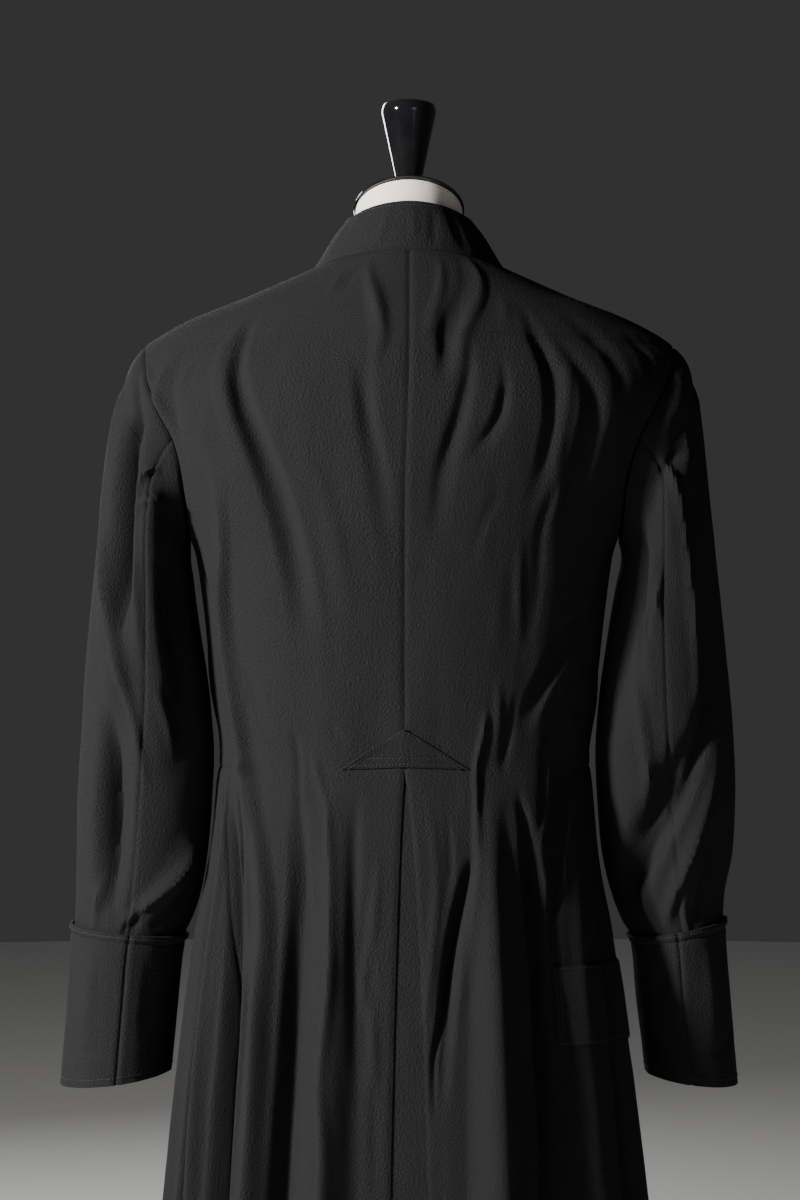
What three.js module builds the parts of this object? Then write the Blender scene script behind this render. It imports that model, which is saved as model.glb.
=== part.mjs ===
// A long clergy coat standing on a limbless dress form, seen as worn: open at neck, cuffs and hem.
// Millimetres, +Z up, the coat's back towards +Y and the wearer's left towards +X.
// The origin is the middle of the round base, on the floor.

import * as THREE from 'three';

// Cloth and seams
const WALL = 2;
const COLLAR_WALL = 2.4;
const CUFF_WALL = 2.4;
const SEAM_GAP = 0.3;
const LAYER_GAP = 0.5;

// Heights, taken at the side of the body
const HEM = 240;
const WAIST = 1020;
const TIP = 1375;
const NECK = 1440;

// Armhole: an oval on the body's surface, its size in degrees round the body and in millimetres up it.
// The powers make it fuller above its middle and narrower below
const ARMHOLE_MIDDLE = 1293;
const ARMHOLE_HALF_HEIGHT = TIP - ARMHOLE_MIDDLE;
const ARMHOLE_HALF_ANGLE = 26;
const ARMHOLE_SHAPE = { upper: 0.8, lower: 1.15 };
const ARM_STEP = 15;
const SIDE_SEAM_AT = 150;

// Columns of cells across each piece
const BACK_CELLS = 15;
const SIDE_CELLS = 13;
const FRONT_CELLS = 8;
const LAP_CELLS = 2;

const LAP_WIDTH = 18;
const LAP_RISE = WALL + LAYER_GAP;

// The body's sections. Columns: height at the side, half-width, depth to the back, depth to the front,
// exponent of the superellipse, rise at the centre back, drop at the centre front
const BODY = [
  [HEM, 250, 182, 188, 2.15, 0, 0],
  [450, 226, 164, 172, 2.15, 0, 0],
  [650, 204, 148, 156, 2.15, 0, 0],
  [802, 187, 134, 145, 2.15, 0, 0],
  [874, 176, 125, 138, 2.15, 0, 0],
  [952, 163, 112, 128, 2.15, 0, 0],
  [1001, 160, 99, 121, 2.15, 0, 0],
  [1028, 157.5, 94, 118, 2.15, 0, 0],
  [1088, 163.5, 98, 122, 2.15, 0, 0],
  [1196, 177, 112, 138, 2.15, 0, 0],
  [1222, 186, 115.5, 140, 2.15, 0, 1],
  [1245, 195, 118, 141, 2.15, 0, 2],
  [1270, 205, 120, 140.5, 2.18, 0.5, 5],
  [1301, 217, 121, 138, 2.2, 1, 10],
  [1325, 228, 119.5, 131, 2.08, 2.3, 16],
  [1345, 234, 117, 122, 1.9, 3.4, 21.5],
  [1360, 233, 112.5, 115.5, 1.73, 4.2, 25.5],
  [TIP, 224.4, 107, 108.5, 1.6, 5, 30],
  [1388, 205, 101, 102.5, 1.6, 6, 33],
  [1400, 181, 94, 96.5, 1.64, 7.3, 36.5],
  [1414, 144, 85, 88.5, 1.72, 8.7, 40],
  [1428, 110, 76, 80.5, 1.85, 9.7, 42.7],
  [NECK, 81, 66, 72, 2, 10.5, 45],
];

// The coat hangs a little towards the wearer's left below the shoulders
const SWAY = 4;
const SWAY_OVER = 150;

// Seams. Columns: height, degrees from the centre back
const SIDE_BACK_LEFT = [[HEM, 47], [800, 50], [WAIST, 67], [1113, 67], [1222, 78.25]];
const SIDE_BACK_RIGHT = [[HEM, 39], [850, 42], [WAIST, 60], [1113, 66], [1222, 78.25]];
const SIDE_FRONT = [[HEM, 118], [WAIST, 112], [1113, 110], [1222, 101.75]];
const PLEAT_LEFT = [[HEM, 4], [790, 2.2], [958, 1], [WAIST, 0]];
const PLEAT_RIGHT = [[HEM, 6], [785, 3.9], [949, 2.1], [WAIST, 0]];
// The two halves of the back; stay is the columns of cells that the stay reaches over
const LEFT = { side: 1, seam: SIDE_BACK_LEFT, pleat: PLEAT_LEFT, stay: 3.8 };
const RIGHT = { side: -1, seam: SIDE_BACK_RIGHT, pleat: PLEAT_RIGHT, stay: 4.6 };

// Folds of the body, a row for each and + to the wearer's left. Each has three stations,
// top, middle and foot, with the columns: height, degrees, half-width, rise (- for a trough)
const FOLDS = [
  [[1388, 43, 13, 0], [1290, 33, 14, -9], [1160, 28, 12, 0]],
  [[1290, 47, 12, 0], [1157, 59, 12, 4], [1020, 56, 12, 5]],
  [[1424, 18, 11, 0], [1396, 11.5, 11, 4], [1340, 8, 11, 0]],
  [[1375, 12, 11, 0], [1316, 7.6, 11, -4], [1180, 3, 11, 0]],
  [[1400, -18, 12, 0], [1380, -13, 12, -6], [1330, -6, 10, 0]],
  [[1360, -15, 11, 0], [1300, -9, 11, -4], [1200, -6.5, 10, 0]],
  [[1345, -20, 9, 0], [1308, -18, 9, -3], [1270, -14, 9, 0]],
  [[1400, -34, 12, 0], [1345, -31, 12, -5], [1230, -31, 12, 0]],
  [[1375, -36, 14, 0], [1300, -42, 15, -6], [1200, -44, 14, 0]],
  [[1160, -62, 16, 0], [1110, -48, 15, -6], [1050, -34, 14, 0]],
  [[1050, -60, 13, 0], [1000, -52, 13, -6], [930, -44, 13, 0]],
  [[1367, 76, 9, 0], [1335, 66, 9, 4], [1270, 58, 9, 0]],
  // the back of the skirt
  [[1010, 20, 16, 0], [854, 17.5, 24, 12], [HEM, 17, 42, 26]],
  [[1000, 31, 13, 0], [840, 28.5, 14, -12], [HEM, 28, 24, -20]],
  [[1020, 54, 12, 5], [843, 38, 14, 10], [HEM, 37, 26, 20]],
  [[960, -19, 9, 0], [870, -11, 10, -8], [740, -7, 9, 0]],
  [[1010, -25, 15, 0], [860, -22, 23, 14], [HEM, -18, 42, 26]],
  [[985, -38, 12, 0], [850, -37, 15, -18], [HEM, -33, 26, -24]],
  // the pleats that open from the side-back seams
  [[1018, 66.5, 8, 0], [800, 49, 15, -16], [HEM, 47, 22, -22]],
  [[1000, 69, 8, 0], [780, 58, 10, 6], [HEM, 57, 20, 14]],
  [[1000, 75, 6, 0], [780, 66, 8, -13], [HEM, 65, 15, -18]],
  [[1000, 83, 10, 0], [780, 75, 12, 3], [HEM, 74, 22, 10]],
  [[1018, -60, 8, 0], [850, -42, 12, -6], [HEM, -40, 18, -12]],
  [[1000, -70, 14, 0], [820, -52, 20, 6], [HEM, -50, 30, 14]],
  [[1000, -78, 10, 0], [780, -66, 10, -12], [HEM, -65, 18, -18]],
  [[1000, -86, 10, 0], [780, -76, 14, 5], [HEM, -76, 24, 12]],
  // the sides and the front of the skirt
  [[990, 96, 12, 0], [780, 92, 16, -8], [HEM, 92, 26, -16]],
  [[980, 108, 12, 0], [760, 106, 18, 6], [HEM, 106, 30, 14]],
  [[960, 122, 12, 0], [740, 124, 18, -8], [HEM, 124, 30, -16]],
  [[940, 138, 14, 0], [700, 142, 22, 7], [HEM, 143, 34, 16]],
  [[980, -98, 12, 0], [780, -94, 16, -9], [HEM, -93, 26, -17]],
  [[990, -110, 12, 0], [760, -109, 18, 7], [HEM, -108, 30, 15]],
  [[950, -126, 12, 0], [720, -127, 18, -8], [HEM, -127, 30, -15]],
  [[930, -142, 14, 0], [700, -146, 22, 6], [HEM, -147, 34, 15]],
  // the fronts of the bodice
  [[1370, 126, 12, 0], [1290, 120, 13, -5], [1200, 116, 12, 0]],
  [[1370, -126, 12, 0], [1290, -119, 13, -6], [1190, -116, 12, 0]],
  [[1100, 140, 14, 0], [1040, 136, 13, -4], [980, 132, 12, 0]],
  [[1110, -138, 14, 0], [1045, -134, 13, -4], [980, -130, 12, 0]],
];
// Troughs end where the cloth lies on the shoulders of the form
const LYING_FROM = 1400;
const FREE_BELOW = 1350;

// Sleeve sections from just under the armhole to the mouth of the cuff, a row for each. Columns:
// outer X and height, inner X and height, Y of the middle, depth to the back, depth to the front
const SLEEVE_LEFT = [
  [235, 1356, 187.5, 1194, 0, 56, 62],
  [247, 1334, 183.5, 1176, 0, 58, 61],
  [255, 1303, 181, 1156, 0, 60, 60],
  [260, 1265, 177, 1130, 0, 61, 60],
  [264, 1218, 172, 1100, 0, 61, 60],
  [269, 1165, 168, 1066, 0, 60, 60],
  [274, 1110, 165.5, 1028, -1, 58, 60],
  [278, 1055, 167.5, 988, -4, 56, 59],
  [282, 1000, 171, 948, -8, 53, 57],
  [284, 950, 177, 915, -12, 50, 54],
  [285, 905, 185, 890, -16, 49, 52],
  [287, 875, 194, 868, -18, 50, 52],
  [291, 815, 201, 815, -24, 51, 52],
  [297, 745, 207, 757, -30, 50, 51],
];
const SLEEVE_RIGHT = [
  [235, 1357, 184, 1196, 0, 56, 62],
  [244, 1336, 178, 1178, 0, 58, 61],
  [249, 1306, 173.5, 1156, 0, 60, 60],
  [253, 1266, 169, 1130, 0, 61, 60],
  [258, 1220, 164, 1100, 0, 61, 60],
  [264, 1166, 160, 1066, 0, 60, 60],
  [270, 1110, 158, 1028, -1, 58, 60],
  [275, 1055, 160, 988, -4, 56, 59],
  [278, 1000, 164, 950, -8, 53, 57],
  [276, 950, 171.5, 917, -12, 50, 54],
  [269, 908, 182, 888, -16, 49, 52],
  [268, 880, 192, 868, -18, 50, 52],
  [273, 815, 198, 812, -24, 51, 52],
  [280, 746, 205, 756, -30, 50, 51],
];
const SLEEVE_STATIONS = [0, 1, 2, 3, 4, 5, 6, 7, 8, 9, 10, 11, 11.7, 12];
const CUFF_STATIONS = [11.7, 12, 13, 14];

// Folds of the sleeves: three stations each, with the columns: row of the sleeve's table,
// degrees round the sleeve from its outer side by the back, half-width in degrees, rise
const SLEEVE_FOLDS_LEFT = [
  [[1, 50, 22, 0], [4, 62, 24, -12], [6.6, 62, 22, 0]],
  [[1, 100, 18, 0], [3, 92, 18, 4], [6.4, 88, 18, 0]],
  [[2, 130, 24, 0], [4.5, 128, 26, -10], [8, 125, 26, 0]],
  [[4.5, 30, 20, 0], [6.5, 55, 22, 4], [8.5, 84, 20, 0]],
  [[6.8, 66, 24, 0], [9, 68, 26, -13], [11.2, 72, 20, 0]],
  [[8.5, 150, 24, 0], [10, 128, 24, 5], [11.3, 100, 20, 0]],
  [[2, 250, 30, 0], [5, 245, 30, -8], [9, 250, 30, 0]],
  [[6, 300, 28, 0], [8.5, 295, 28, -7], [11, 290, 24, 0]],
];
const SLEEVE_FOLDS_RIGHT = [
  [[1.5, 120, 24, 0], [4, 130, 26, -10], [7, 135, 24, 0]],
  [[1.2, 84, 18, 0], [3.5, 82, 18, 4], [6, 66, 18, 0]],
  [[5, 30, 22, 0], [7.4, 48, 24, -6], [8.6, 90, 26, 0]],
  [[7.6, 70, 24, 0], [9, 110, 26, -12], [10.6, 150, 24, 0]],
  [[8.6, 60, 20, 0], [10, 80, 22, 5], [11.3, 90, 20, 0]],
  [[2, 110, 24, 0], [1.8, 60, 20, -4], [3.2, 40, 20, 0]],
  [[2, 252, 30, 0], [5, 247, 30, -8], [9, 250, 30, 0]],
  [[6, 300, 28, 0], [8.5, 296, 28, -7], [11, 290, 24, 0]],
];

// Stand collar
const COLLAR_TOP = { halfWidth: 49.5, back: 54, front: 60, rise: 8, drop: 40, height: 1484 };
const COLLAR_ROWS = 3;

// Triangle over the top of the pleat, and the band on the right of the skirt
const STAY = { apex: 1054, foot: 1024, tip: 0.12, cells: 4, rows: 3, wall: 1.2 };
const HIP_BAND = { foot: 797, top: 862, drop: 0.55, from: 0, to: 11, wall: 1.4 };
const UNDERLAY = { columns: 4, top: 1010 };

const BUTTON = { radius: 9, height: 4, count: 8, top: 1352, pitch: 46, sides: 12 };
// From its back to its crown, in shares of the button's radius and height
const BUTTON_PROFILE = [[0, 0], [0.8, 0], [1, 0.45], [0.7, 0.9], [0, 1]];

const FORM_FOOT = 800;
// Dress form. Columns: height at the side, gap to the cloth at back and front, gap at the sides
const FORM_GAPS = [
  [FORM_FOOT, 42, 40],
  [880, 34, 30],
  [960, 24, 20],
  [1028, 13, 14],
  [1160, 13, 16],
  [1280, 13, 26],
  [1330, 10, 36],
  [1360, 7, 38],
  [1385, 3, 16],
  [1402, 1.6, 1.2],
  [1420, 0.9, 0.9],
  [NECK, 0.95, 0.9],
];
const NECK_TOP = { halfWidth: 45.5, back: 48, front: 52, height: 1488.5, lean: 0.44 };
const NECK_MIDDLE = { halfWidth: 45.6, back: 48.1, front: 52.4, height: 1466, lean: 0.43 };
const CAP = { out: 1.2, height: 3 };
const FINIAL = { top: 1585, widest: 1575, radius: 23.4, waist: 11, foot: 10, over: 5, stem: 20, sides: 24 };
// The finial's domed top: shares of its radius and drops from its top
const FINIAL_DOME = [[0.94, 5], [0.62, 1], [0, 0]];
const POLE = { radius: 14, foot: 14, sides: 20 };
const BASE = { radius: 170, rim: 8, height: 14, hub: 34, sides: 32 };

const radians = THREE.MathUtils.degToRad;

function smooth(from, to, value) {
  return THREE.MathUtils.smoothstep(value, Math.min(from, to), Math.max(from, to));
}

// The value of one column of a table at a height, by a curve that doesn't overshoot its rows
function column(table, at, index) {
  const last = table.length - 1;
  if (at <= table[0][0]) return table[0][index];
  if (at >= table[last][0]) return table[last][index];
  const low = table.findLastIndex((row) => row[0] <= at);
  const grade = (i) => (table[i + 1][index] - table[i][index]) / (table[i + 1][0] - table[i][0]);
  const slope = (i) => {
    if (i === 0) return grade(0);
    if (i === last) return grade(last - 1);
    const before = grade(i - 1);
    const after = grade(i);
    return before * after <= 0 ? 0 : (2 * before * after) / (before + after);
  };
  const span = table[low + 1][0] - table[low][0];
  const u = (at - table[low][0]) / span;
  const rise = u * u * (3 - 2 * u);
  return table[low][index] * (1 - rise) + table[low + 1][index] * rise
    + span * u * (1 - u) * ((1 - u) * slope(low) - u * slope(low + 1));
}

// A closed section: 0 degrees at the back, 90 at the wearer's left
function section(degrees, height, shape) {
  const across = Math.sin(radians(degrees));
  const along = Math.cos(radians(degrees));
  const power = 2 / shape.exponent;
  const depth = along > 0 ? shape.back : shape.front;
  const tilt = along > 0 ? shape.rise : -shape.drop;
  return new THREE.Vector3(
    shape.halfWidth * Math.sign(across) * Math.abs(across) ** power,
    depth * Math.sign(along) * Math.abs(along) ** power,
    height + tilt * along * along,
  );
}

function bodyShape(height) {
  const names = ['halfWidth', 'back', 'front', 'exponent', 'rise', 'drop'];
  return Object.fromEntries(names.map((name, i) => [name, column(BODY, height, i + 1)]));
}

function smoothBody(degrees, height) {
  const point = section(degrees, height, bodyShape(height));
  point.x += SWAY * (1 - smooth(TIP - SWAY_OVER, TIP, height));
  return point;
}

// The unit normal of a surface given as a function of two parameters
function normalOf(surface, u, v, stepU, stepV) {
  const alongU = surface(u + stepU, v).sub(surface(u - stepU, v));
  const alongV = surface(u, v + stepV).sub(surface(u, v - stepV));
  return alongU.cross(alongV).normalize();
}

function bodyNormal(degrees, height) {
  return normalOf(smoothBody, degrees, height, -1.5, 4);
}

// Where a fold's stations put it at a place, and how far it stands out there
function foldAt(stations, at) {
  const order = [...stations].sort((one, other) => one[0] - other[0]);
  if (at < order[0][0] || at > order[2][0]) return null;
  return { middle: column(order, at, 1), half: column(order, at, 2), rise: column(order, at, 3) };
}

function bump(distance, half) {
  return Math.abs(distance) < half ? (1 + Math.cos((Math.PI * distance) / half)) / 2 : 0;
}

function bodyFolds(degrees, height) {
  const here = smoothBody(degrees, height);
  let out = 0;
  for (const stations of FOLDS) {
    const fold = foldAt(stations, height);
    if (!fold || Math.abs(fold.middle - degrees) > 45) continue;
    const distance = here.distanceTo(smoothBody(fold.middle, height));
    const lying = fold.rise < 0 ? 1 - smooth(FREE_BELOW, LYING_FROM, height) : 1;
    out += fold.rise * lying * bump(distance, fold.half);
  }
  return out;
}

// The outer face of the coat's body, moved out by a distance
function body(degrees, height, out = 0) {
  const level = Math.min(height, NECK);
  const move = bodyFolds(degrees, level) + out;
  return smoothBody(degrees, level).addScaledVector(bodyNormal(degrees, level), move);
}

// Half of the armhole's angle where its height is this share of its half-height
function armholeHalfAngle(up) {
  const power = up > 0 ? ARMHOLE_SHAPE.upper : ARMHOLE_SHAPE.lower;
  return ARMHOLE_HALF_ANGLE * Math.sqrt(Math.max(0, 1 - up * up)) ** power;
}

// A point of the armhole, from its top by the back
function armholePlace(around) {
  const turn = radians(around);
  const up = Math.cos(turn);
  return {
    degrees: 90 - Math.sign(Math.sin(turn)) * armholeHalfAngle(up),
    height: ARMHOLE_MIDDLE + ARMHOLE_HALF_HEIGHT * up,
  };
}

// Heights of the rows that the long pieces share, so that their seams match
const skirtLevels = [HEM, 340, 440, 540, 640, 720, 790, 850, 905, 955, 995, WAIST];
const bodiceLevels = [1060, 1113, 1168];
const armLevels = [];
for (let around = SIDE_SEAM_AT; around >= 0; around -= ARM_STEP) {
  armLevels.push(armholePlace(around).height);
}
const shoulderLevels = [1388, 1401, 1414, 1427, NECK];
const allLevels = [...skirtLevels, ...bodiceLevels, ...armLevels, ...shoulderLevels];

// Degrees of the outer edge of a back (way 1) or a front (way -1) at a height: seam, armhole, shoulder
function outerEdge(seam, height, way) {
  if (height >= TIP) return 90;
  if (height < armLevels[0] - 0.01) return column(seam, height, 1);
  const up = THREE.MathUtils.clamp((height - ARMHOLE_MIDDLE) / ARMHOLE_HALF_HEIGHT, -1, 1);
  return 90 - way * armholeHalfAngle(up);
}

// Draws the edge of a grid in by half a seam gap, so that neighbours stay apart
function drawIn(grid, closed) {
  const half = SEAM_GAP / 2;
  const towards = (point, next) => {
    const way = next.clone().sub(point);
    return point.clone().addScaledVector(way, half / way.length());
  };
  const rows = grid.map((row) => [...row]);
  const end = grid.length - 1;
  const side = grid[0].length - 1;
  if (!closed) {
    grid.forEach((row, j) => {
      rows[j][0] = towards(row[0], row[1]);
      rows[j][side] = towards(row[side], row[side - 1]);
    });
  }
  const first = rows[0].map((point, i) => towards(point, rows[1][i]));
  const last = rows[end].map((point, i) => towards(point, rows[end - 1][i]));
  rows[0] = first;
  rows[end] = last;
  return rows;
}

// A closed wall between an outer and an inner grid of points
function wallGeometry(outerGrid, innerGrid, closed = false) {
  const outer = drawIn(outerGrid, closed);
  const inner = drawIn(innerGrid, closed);
  const rows = outer.length;
  const across = outer[0].length;
  const points = [...outer.flat(), ...inner.flat()];
  const index = (layer, j, i) => layer * rows * across + j * across + (i % across);
  const faces = [];
  // A cell is cut along its shorter diagonal, so pieces that share points share their surface
  const quad = (a, b, c, d) => {
    const even = points[a].distanceToSquared(points[c]) <= points[b].distanceToSquared(points[d]);
    faces.push(...(even ? [a, b, c, a, c, d] : [a, b, d, b, c, d]));
  };
  const cells = closed ? across : across - 1;
  for (let j = 0; j < rows - 1; j += 1) {
    for (let i = 0; i < cells; i += 1) {
      quad(index(0, j, i), index(0, j, i + 1), index(0, j + 1, i + 1), index(0, j + 1, i));
      quad(index(1, j, i), index(1, j + 1, i), index(1, j + 1, i + 1), index(1, j, i + 1));
    }
  }
  const end = rows - 1;
  for (let i = 0; i < cells; i += 1) {
    quad(index(0, 0, i), index(1, 0, i), index(1, 0, i + 1), index(0, 0, i + 1));
    quad(index(0, end, i), index(0, end, i + 1), index(1, end, i + 1), index(1, end, i));
  }
  if (!closed) {
    for (let j = 0; j < rows - 1; j += 1) {
      quad(index(0, j, 0), index(0, j + 1, 0), index(1, j + 1, 0), index(1, j, 0));
      quad(index(0, j, cells), index(1, j, cells), index(1, j + 1, cells), index(0, j + 1, cells));
    }
  }
  return solidGeometry(points, faces);
}

// A geometry with its faces turned out, whichever way they were listed
function solidGeometry(points, faces) {
  let volume = 0;
  for (let k = 0; k < faces.length; k += 3) {
    const [a, b, c] = [points[faces[k]], points[faces[k + 1]], points[faces[k + 2]]];
    volume += a.dot(b.clone().cross(c));
  }
  if (volume < 0) faces.reverse();
  const geometry = new THREE.BufferGeometry();
  geometry.setAttribute('position', new THREE.Float32BufferAttribute(points.flatMap((p) => p.toArray()), 3));
  geometry.setIndex(faces);
  geometry.computeVertexNormals();
  return geometry;
}

// A wall from a surface: place(i, j) gives the parameters of each grid point
function panelGeometry(surface, place, cells, rows, wall, out = 0) {
  const layer = (move) => {
    const grid = [];
    for (let j = 0; j < rows; j += 1) {
      const row = [];
      for (let i = 0; i <= cells; i += 1) {
        const [u, v, extra = 0] = place(i, j);
        row.push(surface(u, v, move + extra));
      }
      grid.push(row);
    }
    return grid;
  };
  return wallGeometry(layer(out), layer(out - wall));
}

const cloth = { color: 0x17161a, roughness: 0.78, metalness: 0 };
const jersey = { color: 0xe9e5dc, roughness: 0.85, metalness: 0 };
const gloss = { color: 0x08080a, roughness: 0.15, metalness: 0 };
const steel = { color: 0x3a3a3d, roughness: 0.35, metalness: 0.9 };
const horn = { color: 0x0d0c0e, roughness: 0.4, metalness: 0 };

const part = new THREE.Group();

function add(name, geometry, finish) {
  const mesh = new THREE.Mesh(geometry, new THREE.MeshStandardMaterial(finish));
  mesh.name = name;
  part.add(mesh);
  return mesh;
}

// Backs, each from the centre to the side-back seam, the armhole and the shoulder
function backPlace({ side, seam, pleat }) {
  return (i, j) => {
    const height = allLevels[j];
    const edge = column(pleat, height, 1);
    return [side * THREE.MathUtils.lerp(edge, outerEdge(seam, height, 1), i / BACK_CELLS), height];
  };
}

function addBack(name, half) {
  add(name, panelGeometry(body, backPlace(half), BACK_CELLS, allLevels.length, WALL), cloth);
}

// Fronts, to the centre; the left one laps over the right and stands out there
function frontPlace(side) {
  return (i, j) => {
    const height = allLevels[j];
    const { halfWidth, exponent } = bodyShape(height);
    const lap = THREE.MathUtils.radToDeg(Math.asin((LAP_WIDTH / halfWidth) ** (exponent / 2)));
    const over = Math.max(0, i - FRONT_CELLS) / LAP_CELLS;
    const share = Math.min(1, i / FRONT_CELLS);
    const degrees = THREE.MathUtils.lerp(outerEdge(SIDE_FRONT, height, -1), 180, share) + over * lap;
    return [side * degrees, height, side > 0 && i >= FRONT_CELLS ? LAP_RISE : 0];
  };
}

function addFront(name, side, cells) {
  add(name, panelGeometry(body, frontPlace(side), cells, allLevels.length, WALL), cloth);
}

// Side bodies, from the waist seam up to the foot of the armhole
function addSideBody(name, { side, seam }) {
  const levels = [WAIST, ...bodiceLevels, armLevels[0]];
  const cells = (360 - 2 * SIDE_SEAM_AT) / ARM_STEP;
  const place = (i, j) => {
    const foot = armholePlace(SIDE_SEAM_AT + i * ARM_STEP);
    const share = (levels[j] - WAIST) / (armLevels[0] - WAIST);
    const height = THREE.MathUtils.lerp(WAIST, foot.height, share);
    const even = THREE.MathUtils.lerp(column(seam, height, 1), column(SIDE_FRONT, height, 1), i / cells);
    return [side * (j === levels.length - 1 ? foot.degrees : even), height];
  };
  add(name, panelGeometry(body, place, cells, levels.length, WALL), cloth);
}

// Side skirts, from the waist seam to the hem
function sideSkirtPlace({ side, seam }) {
  return (i, j) => {
    const height = skirtLevels[j];
    const edges = [column(seam, height, 1), column(SIDE_FRONT, height, 1)];
    return [side * THREE.MathUtils.lerp(...edges, i / SIDE_CELLS), height];
  };
}

function addSideSkirt(name, half) {
  add(name, panelGeometry(body, sideSkirtPlace(half), SIDE_CELLS, skirtLevels.length, WALL), cloth);
}

// The strip behind the pleat, on the backs' own columns, in behind their wall
function addUnderlay() {
  const under = UNDERLAY.columns;
  const place = (i, j) => {
    const { side, seam, pleat } = i > under ? LEFT : RIGHT;
    const height = Math.min(skirtLevels[j], UNDERLAY.top);
    const share = (Math.abs(i - under) - 1) / BACK_CELLS;
    const edge = column(pleat, height, 1);
    return [i === under ? 0 : side * THREE.MathUtils.lerp(edge, outerEdge(seam, height, 1), share), height];
  };
  const behind = -WALL - LAYER_GAP;
  add('pleat_underlay', panelGeometry(body, place, 2 * under, skirtLevels.length, WALL, behind), cloth);
}

// A point on a piece between its own grid points, moved out, for what lies on it
function onPiece(place, levels, i, height, out) {
  const low = Math.min(levels.findLastIndex((level) => level <= height), levels.length - 2);
  const first = Math.floor(i);
  const corner = (a, b) => {
    const [degrees, level, extra = 0] = place(a, b);
    return body(degrees, level, out + extra);
  };
  const share = i - first;
  const foot = corner(first, low).lerp(corner(first + 1, low), share);
  const head = corner(first, low + 1).lerp(corner(first + 1, low + 1), share);
  return foot.lerp(head, (height - levels[low]) / (levels[low + 1] - levels[low]));
}

function addStay(name, half) {
  const surface = (i, height, out) => onPiece(backPlace(half), allLevels, i, height, out);
  const place = (i, j) => {
    const up = j / STAY.rows;
    const reach = THREE.MathUtils.lerp(half.stay, STAY.tip, up);
    return [(reach * i) / STAY.cells, THREE.MathUtils.lerp(STAY.foot, STAY.apex, up)];
  };
  const move = STAY.wall + LAYER_GAP;
  add(name, panelGeometry(surface, place, STAY.cells, STAY.rows + 1, STAY.wall, move), cloth);
}

// The band stitched round the right side of the skirt
function addHipBand() {
  const surface = (i, height, out) => onPiece(sideSkirtPlace(RIGHT), skirtLevels, i, height, out);
  const between = skirtLevels.filter((level) => level > HIP_BAND.foot && level < HIP_BAND.top);
  const place = (i, j) => {
    const fall = HIP_BAND.drop * i;
    const rows = [HIP_BAND.foot - fall, ...between, HIP_BAND.top - fall];
    return [HIP_BAND.from + i, rows[j]];
  };
  const cells = HIP_BAND.to - HIP_BAND.from;
  const move = HIP_BAND.wall + LAYER_GAP;
  add('hip_band_right', panelGeometry(surface, place, cells, between.length + 2, HIP_BAND.wall, move), cloth);
}

// Stand collar on the neck edge, open in front by a narrow gap
function addCollar() {
  const rim = { ...COLLAR_TOP, exponent: 2 };
  const surface = (degrees, up, out) => {
    const foot = body(degrees, NECK, out);
    const top = section(degrees, rim.height, rim);
    const way = new THREE.Vector3(top.x, top.y, 0).normalize();
    top.addScaledVector(way, out);
    const bent = up * (1 - 0.6 * up * (1 - up));
    return new THREE.Vector3(
      THREE.MathUtils.lerp(foot.x, top.x, bent),
      THREE.MathUtils.lerp(foot.y, top.y, bent),
      THREE.MathUtils.lerp(foot.z, top.z, up),
    );
  };
  const angles = [];
  for (let i = 0; i < FRONT_CELLS; i += 1) angles.push(-180 + (90 * i) / FRONT_CELLS);
  for (let i = -BACK_CELLS; i <= BACK_CELLS; i += 1) angles.push((90 * i) / BACK_CELLS);
  for (let i = 1; i <= FRONT_CELLS; i += 1) angles.push(90 + (90 * i) / FRONT_CELLS);
  const place = (i, j) => [angles[i], j / COLLAR_ROWS];
  add('collar', panelGeometry(surface, place, angles.length - 1, COLLAR_ROWS + 1, COLLAR_WALL), cloth);
}

// A sleeve's surface: 0 degrees on its outer side, 90 at the back; row 0 is the armhole itself
function sleeveSurface(side, table, folds) {
  const rows = table.map((row, i) => [i + 1, ...row]);
  const ring = (along, around) => {
    const [outerX, outerZ, innerX, innerZ, middleY, back, front] =
      [1, 2, 3, 4, 5, 6, 7].map((index) => column(rows, along, index));
    const across = Math.cos(radians(around));
    const deep = Math.sin(radians(around));
    return new THREE.Vector3(
      side * ((outerX + innerX) / 2 + ((outerX - innerX) / 2) * across),
      middleY + (deep > 0 ? back : front) * deep,
      (outerZ + innerZ) / 2 + ((outerZ - innerZ) / 2) * across,
    );
  };
  const armhole = (around) => {
    const at = armholePlace(around);
    return body(side * at.degrees, at.height);
  };
  const plain = (along, around) => (
    along < 1 ? armhole(around).lerp(ring(1, around), Math.max(0, along)) : ring(along, around)
  );
  const sleeveNormal = (along, around) => normalOf(plain, along, around, 0.08, 3).multiplyScalar(side);
  // At the armhole the wall meets the body's: along the body's normal where the seam is a ridge,
  // along the sleeve's own where it is a valley, as under the arm
  const seamNormal = (around) => {
    const at = armholePlace(around);
    const across = bodyNormal(side * at.degrees, at.height);
    const leaving = ring(1, around).sub(armhole(around));
    return leaving.dot(across) > 0 ? sleeveNormal(0.2, around) : across;
  };
  return (along, around, out) => {
    if (along === 0) return armhole(around).addScaledVector(seamNormal(around), out);
    const normal = sleeveNormal(along, around);
    let move = out;
    for (const stations of folds) {
      const fold = foldAt(stations, along);
      const apart = fold ? THREE.MathUtils.euclideanModulo(around - fold.middle + 180, 360) - 180 : 0;
      if (fold) move += fold.rise * bump(apart, fold.half);
    }
    return plain(along, around).addScaledVector(normal, move);
  };
}

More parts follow.
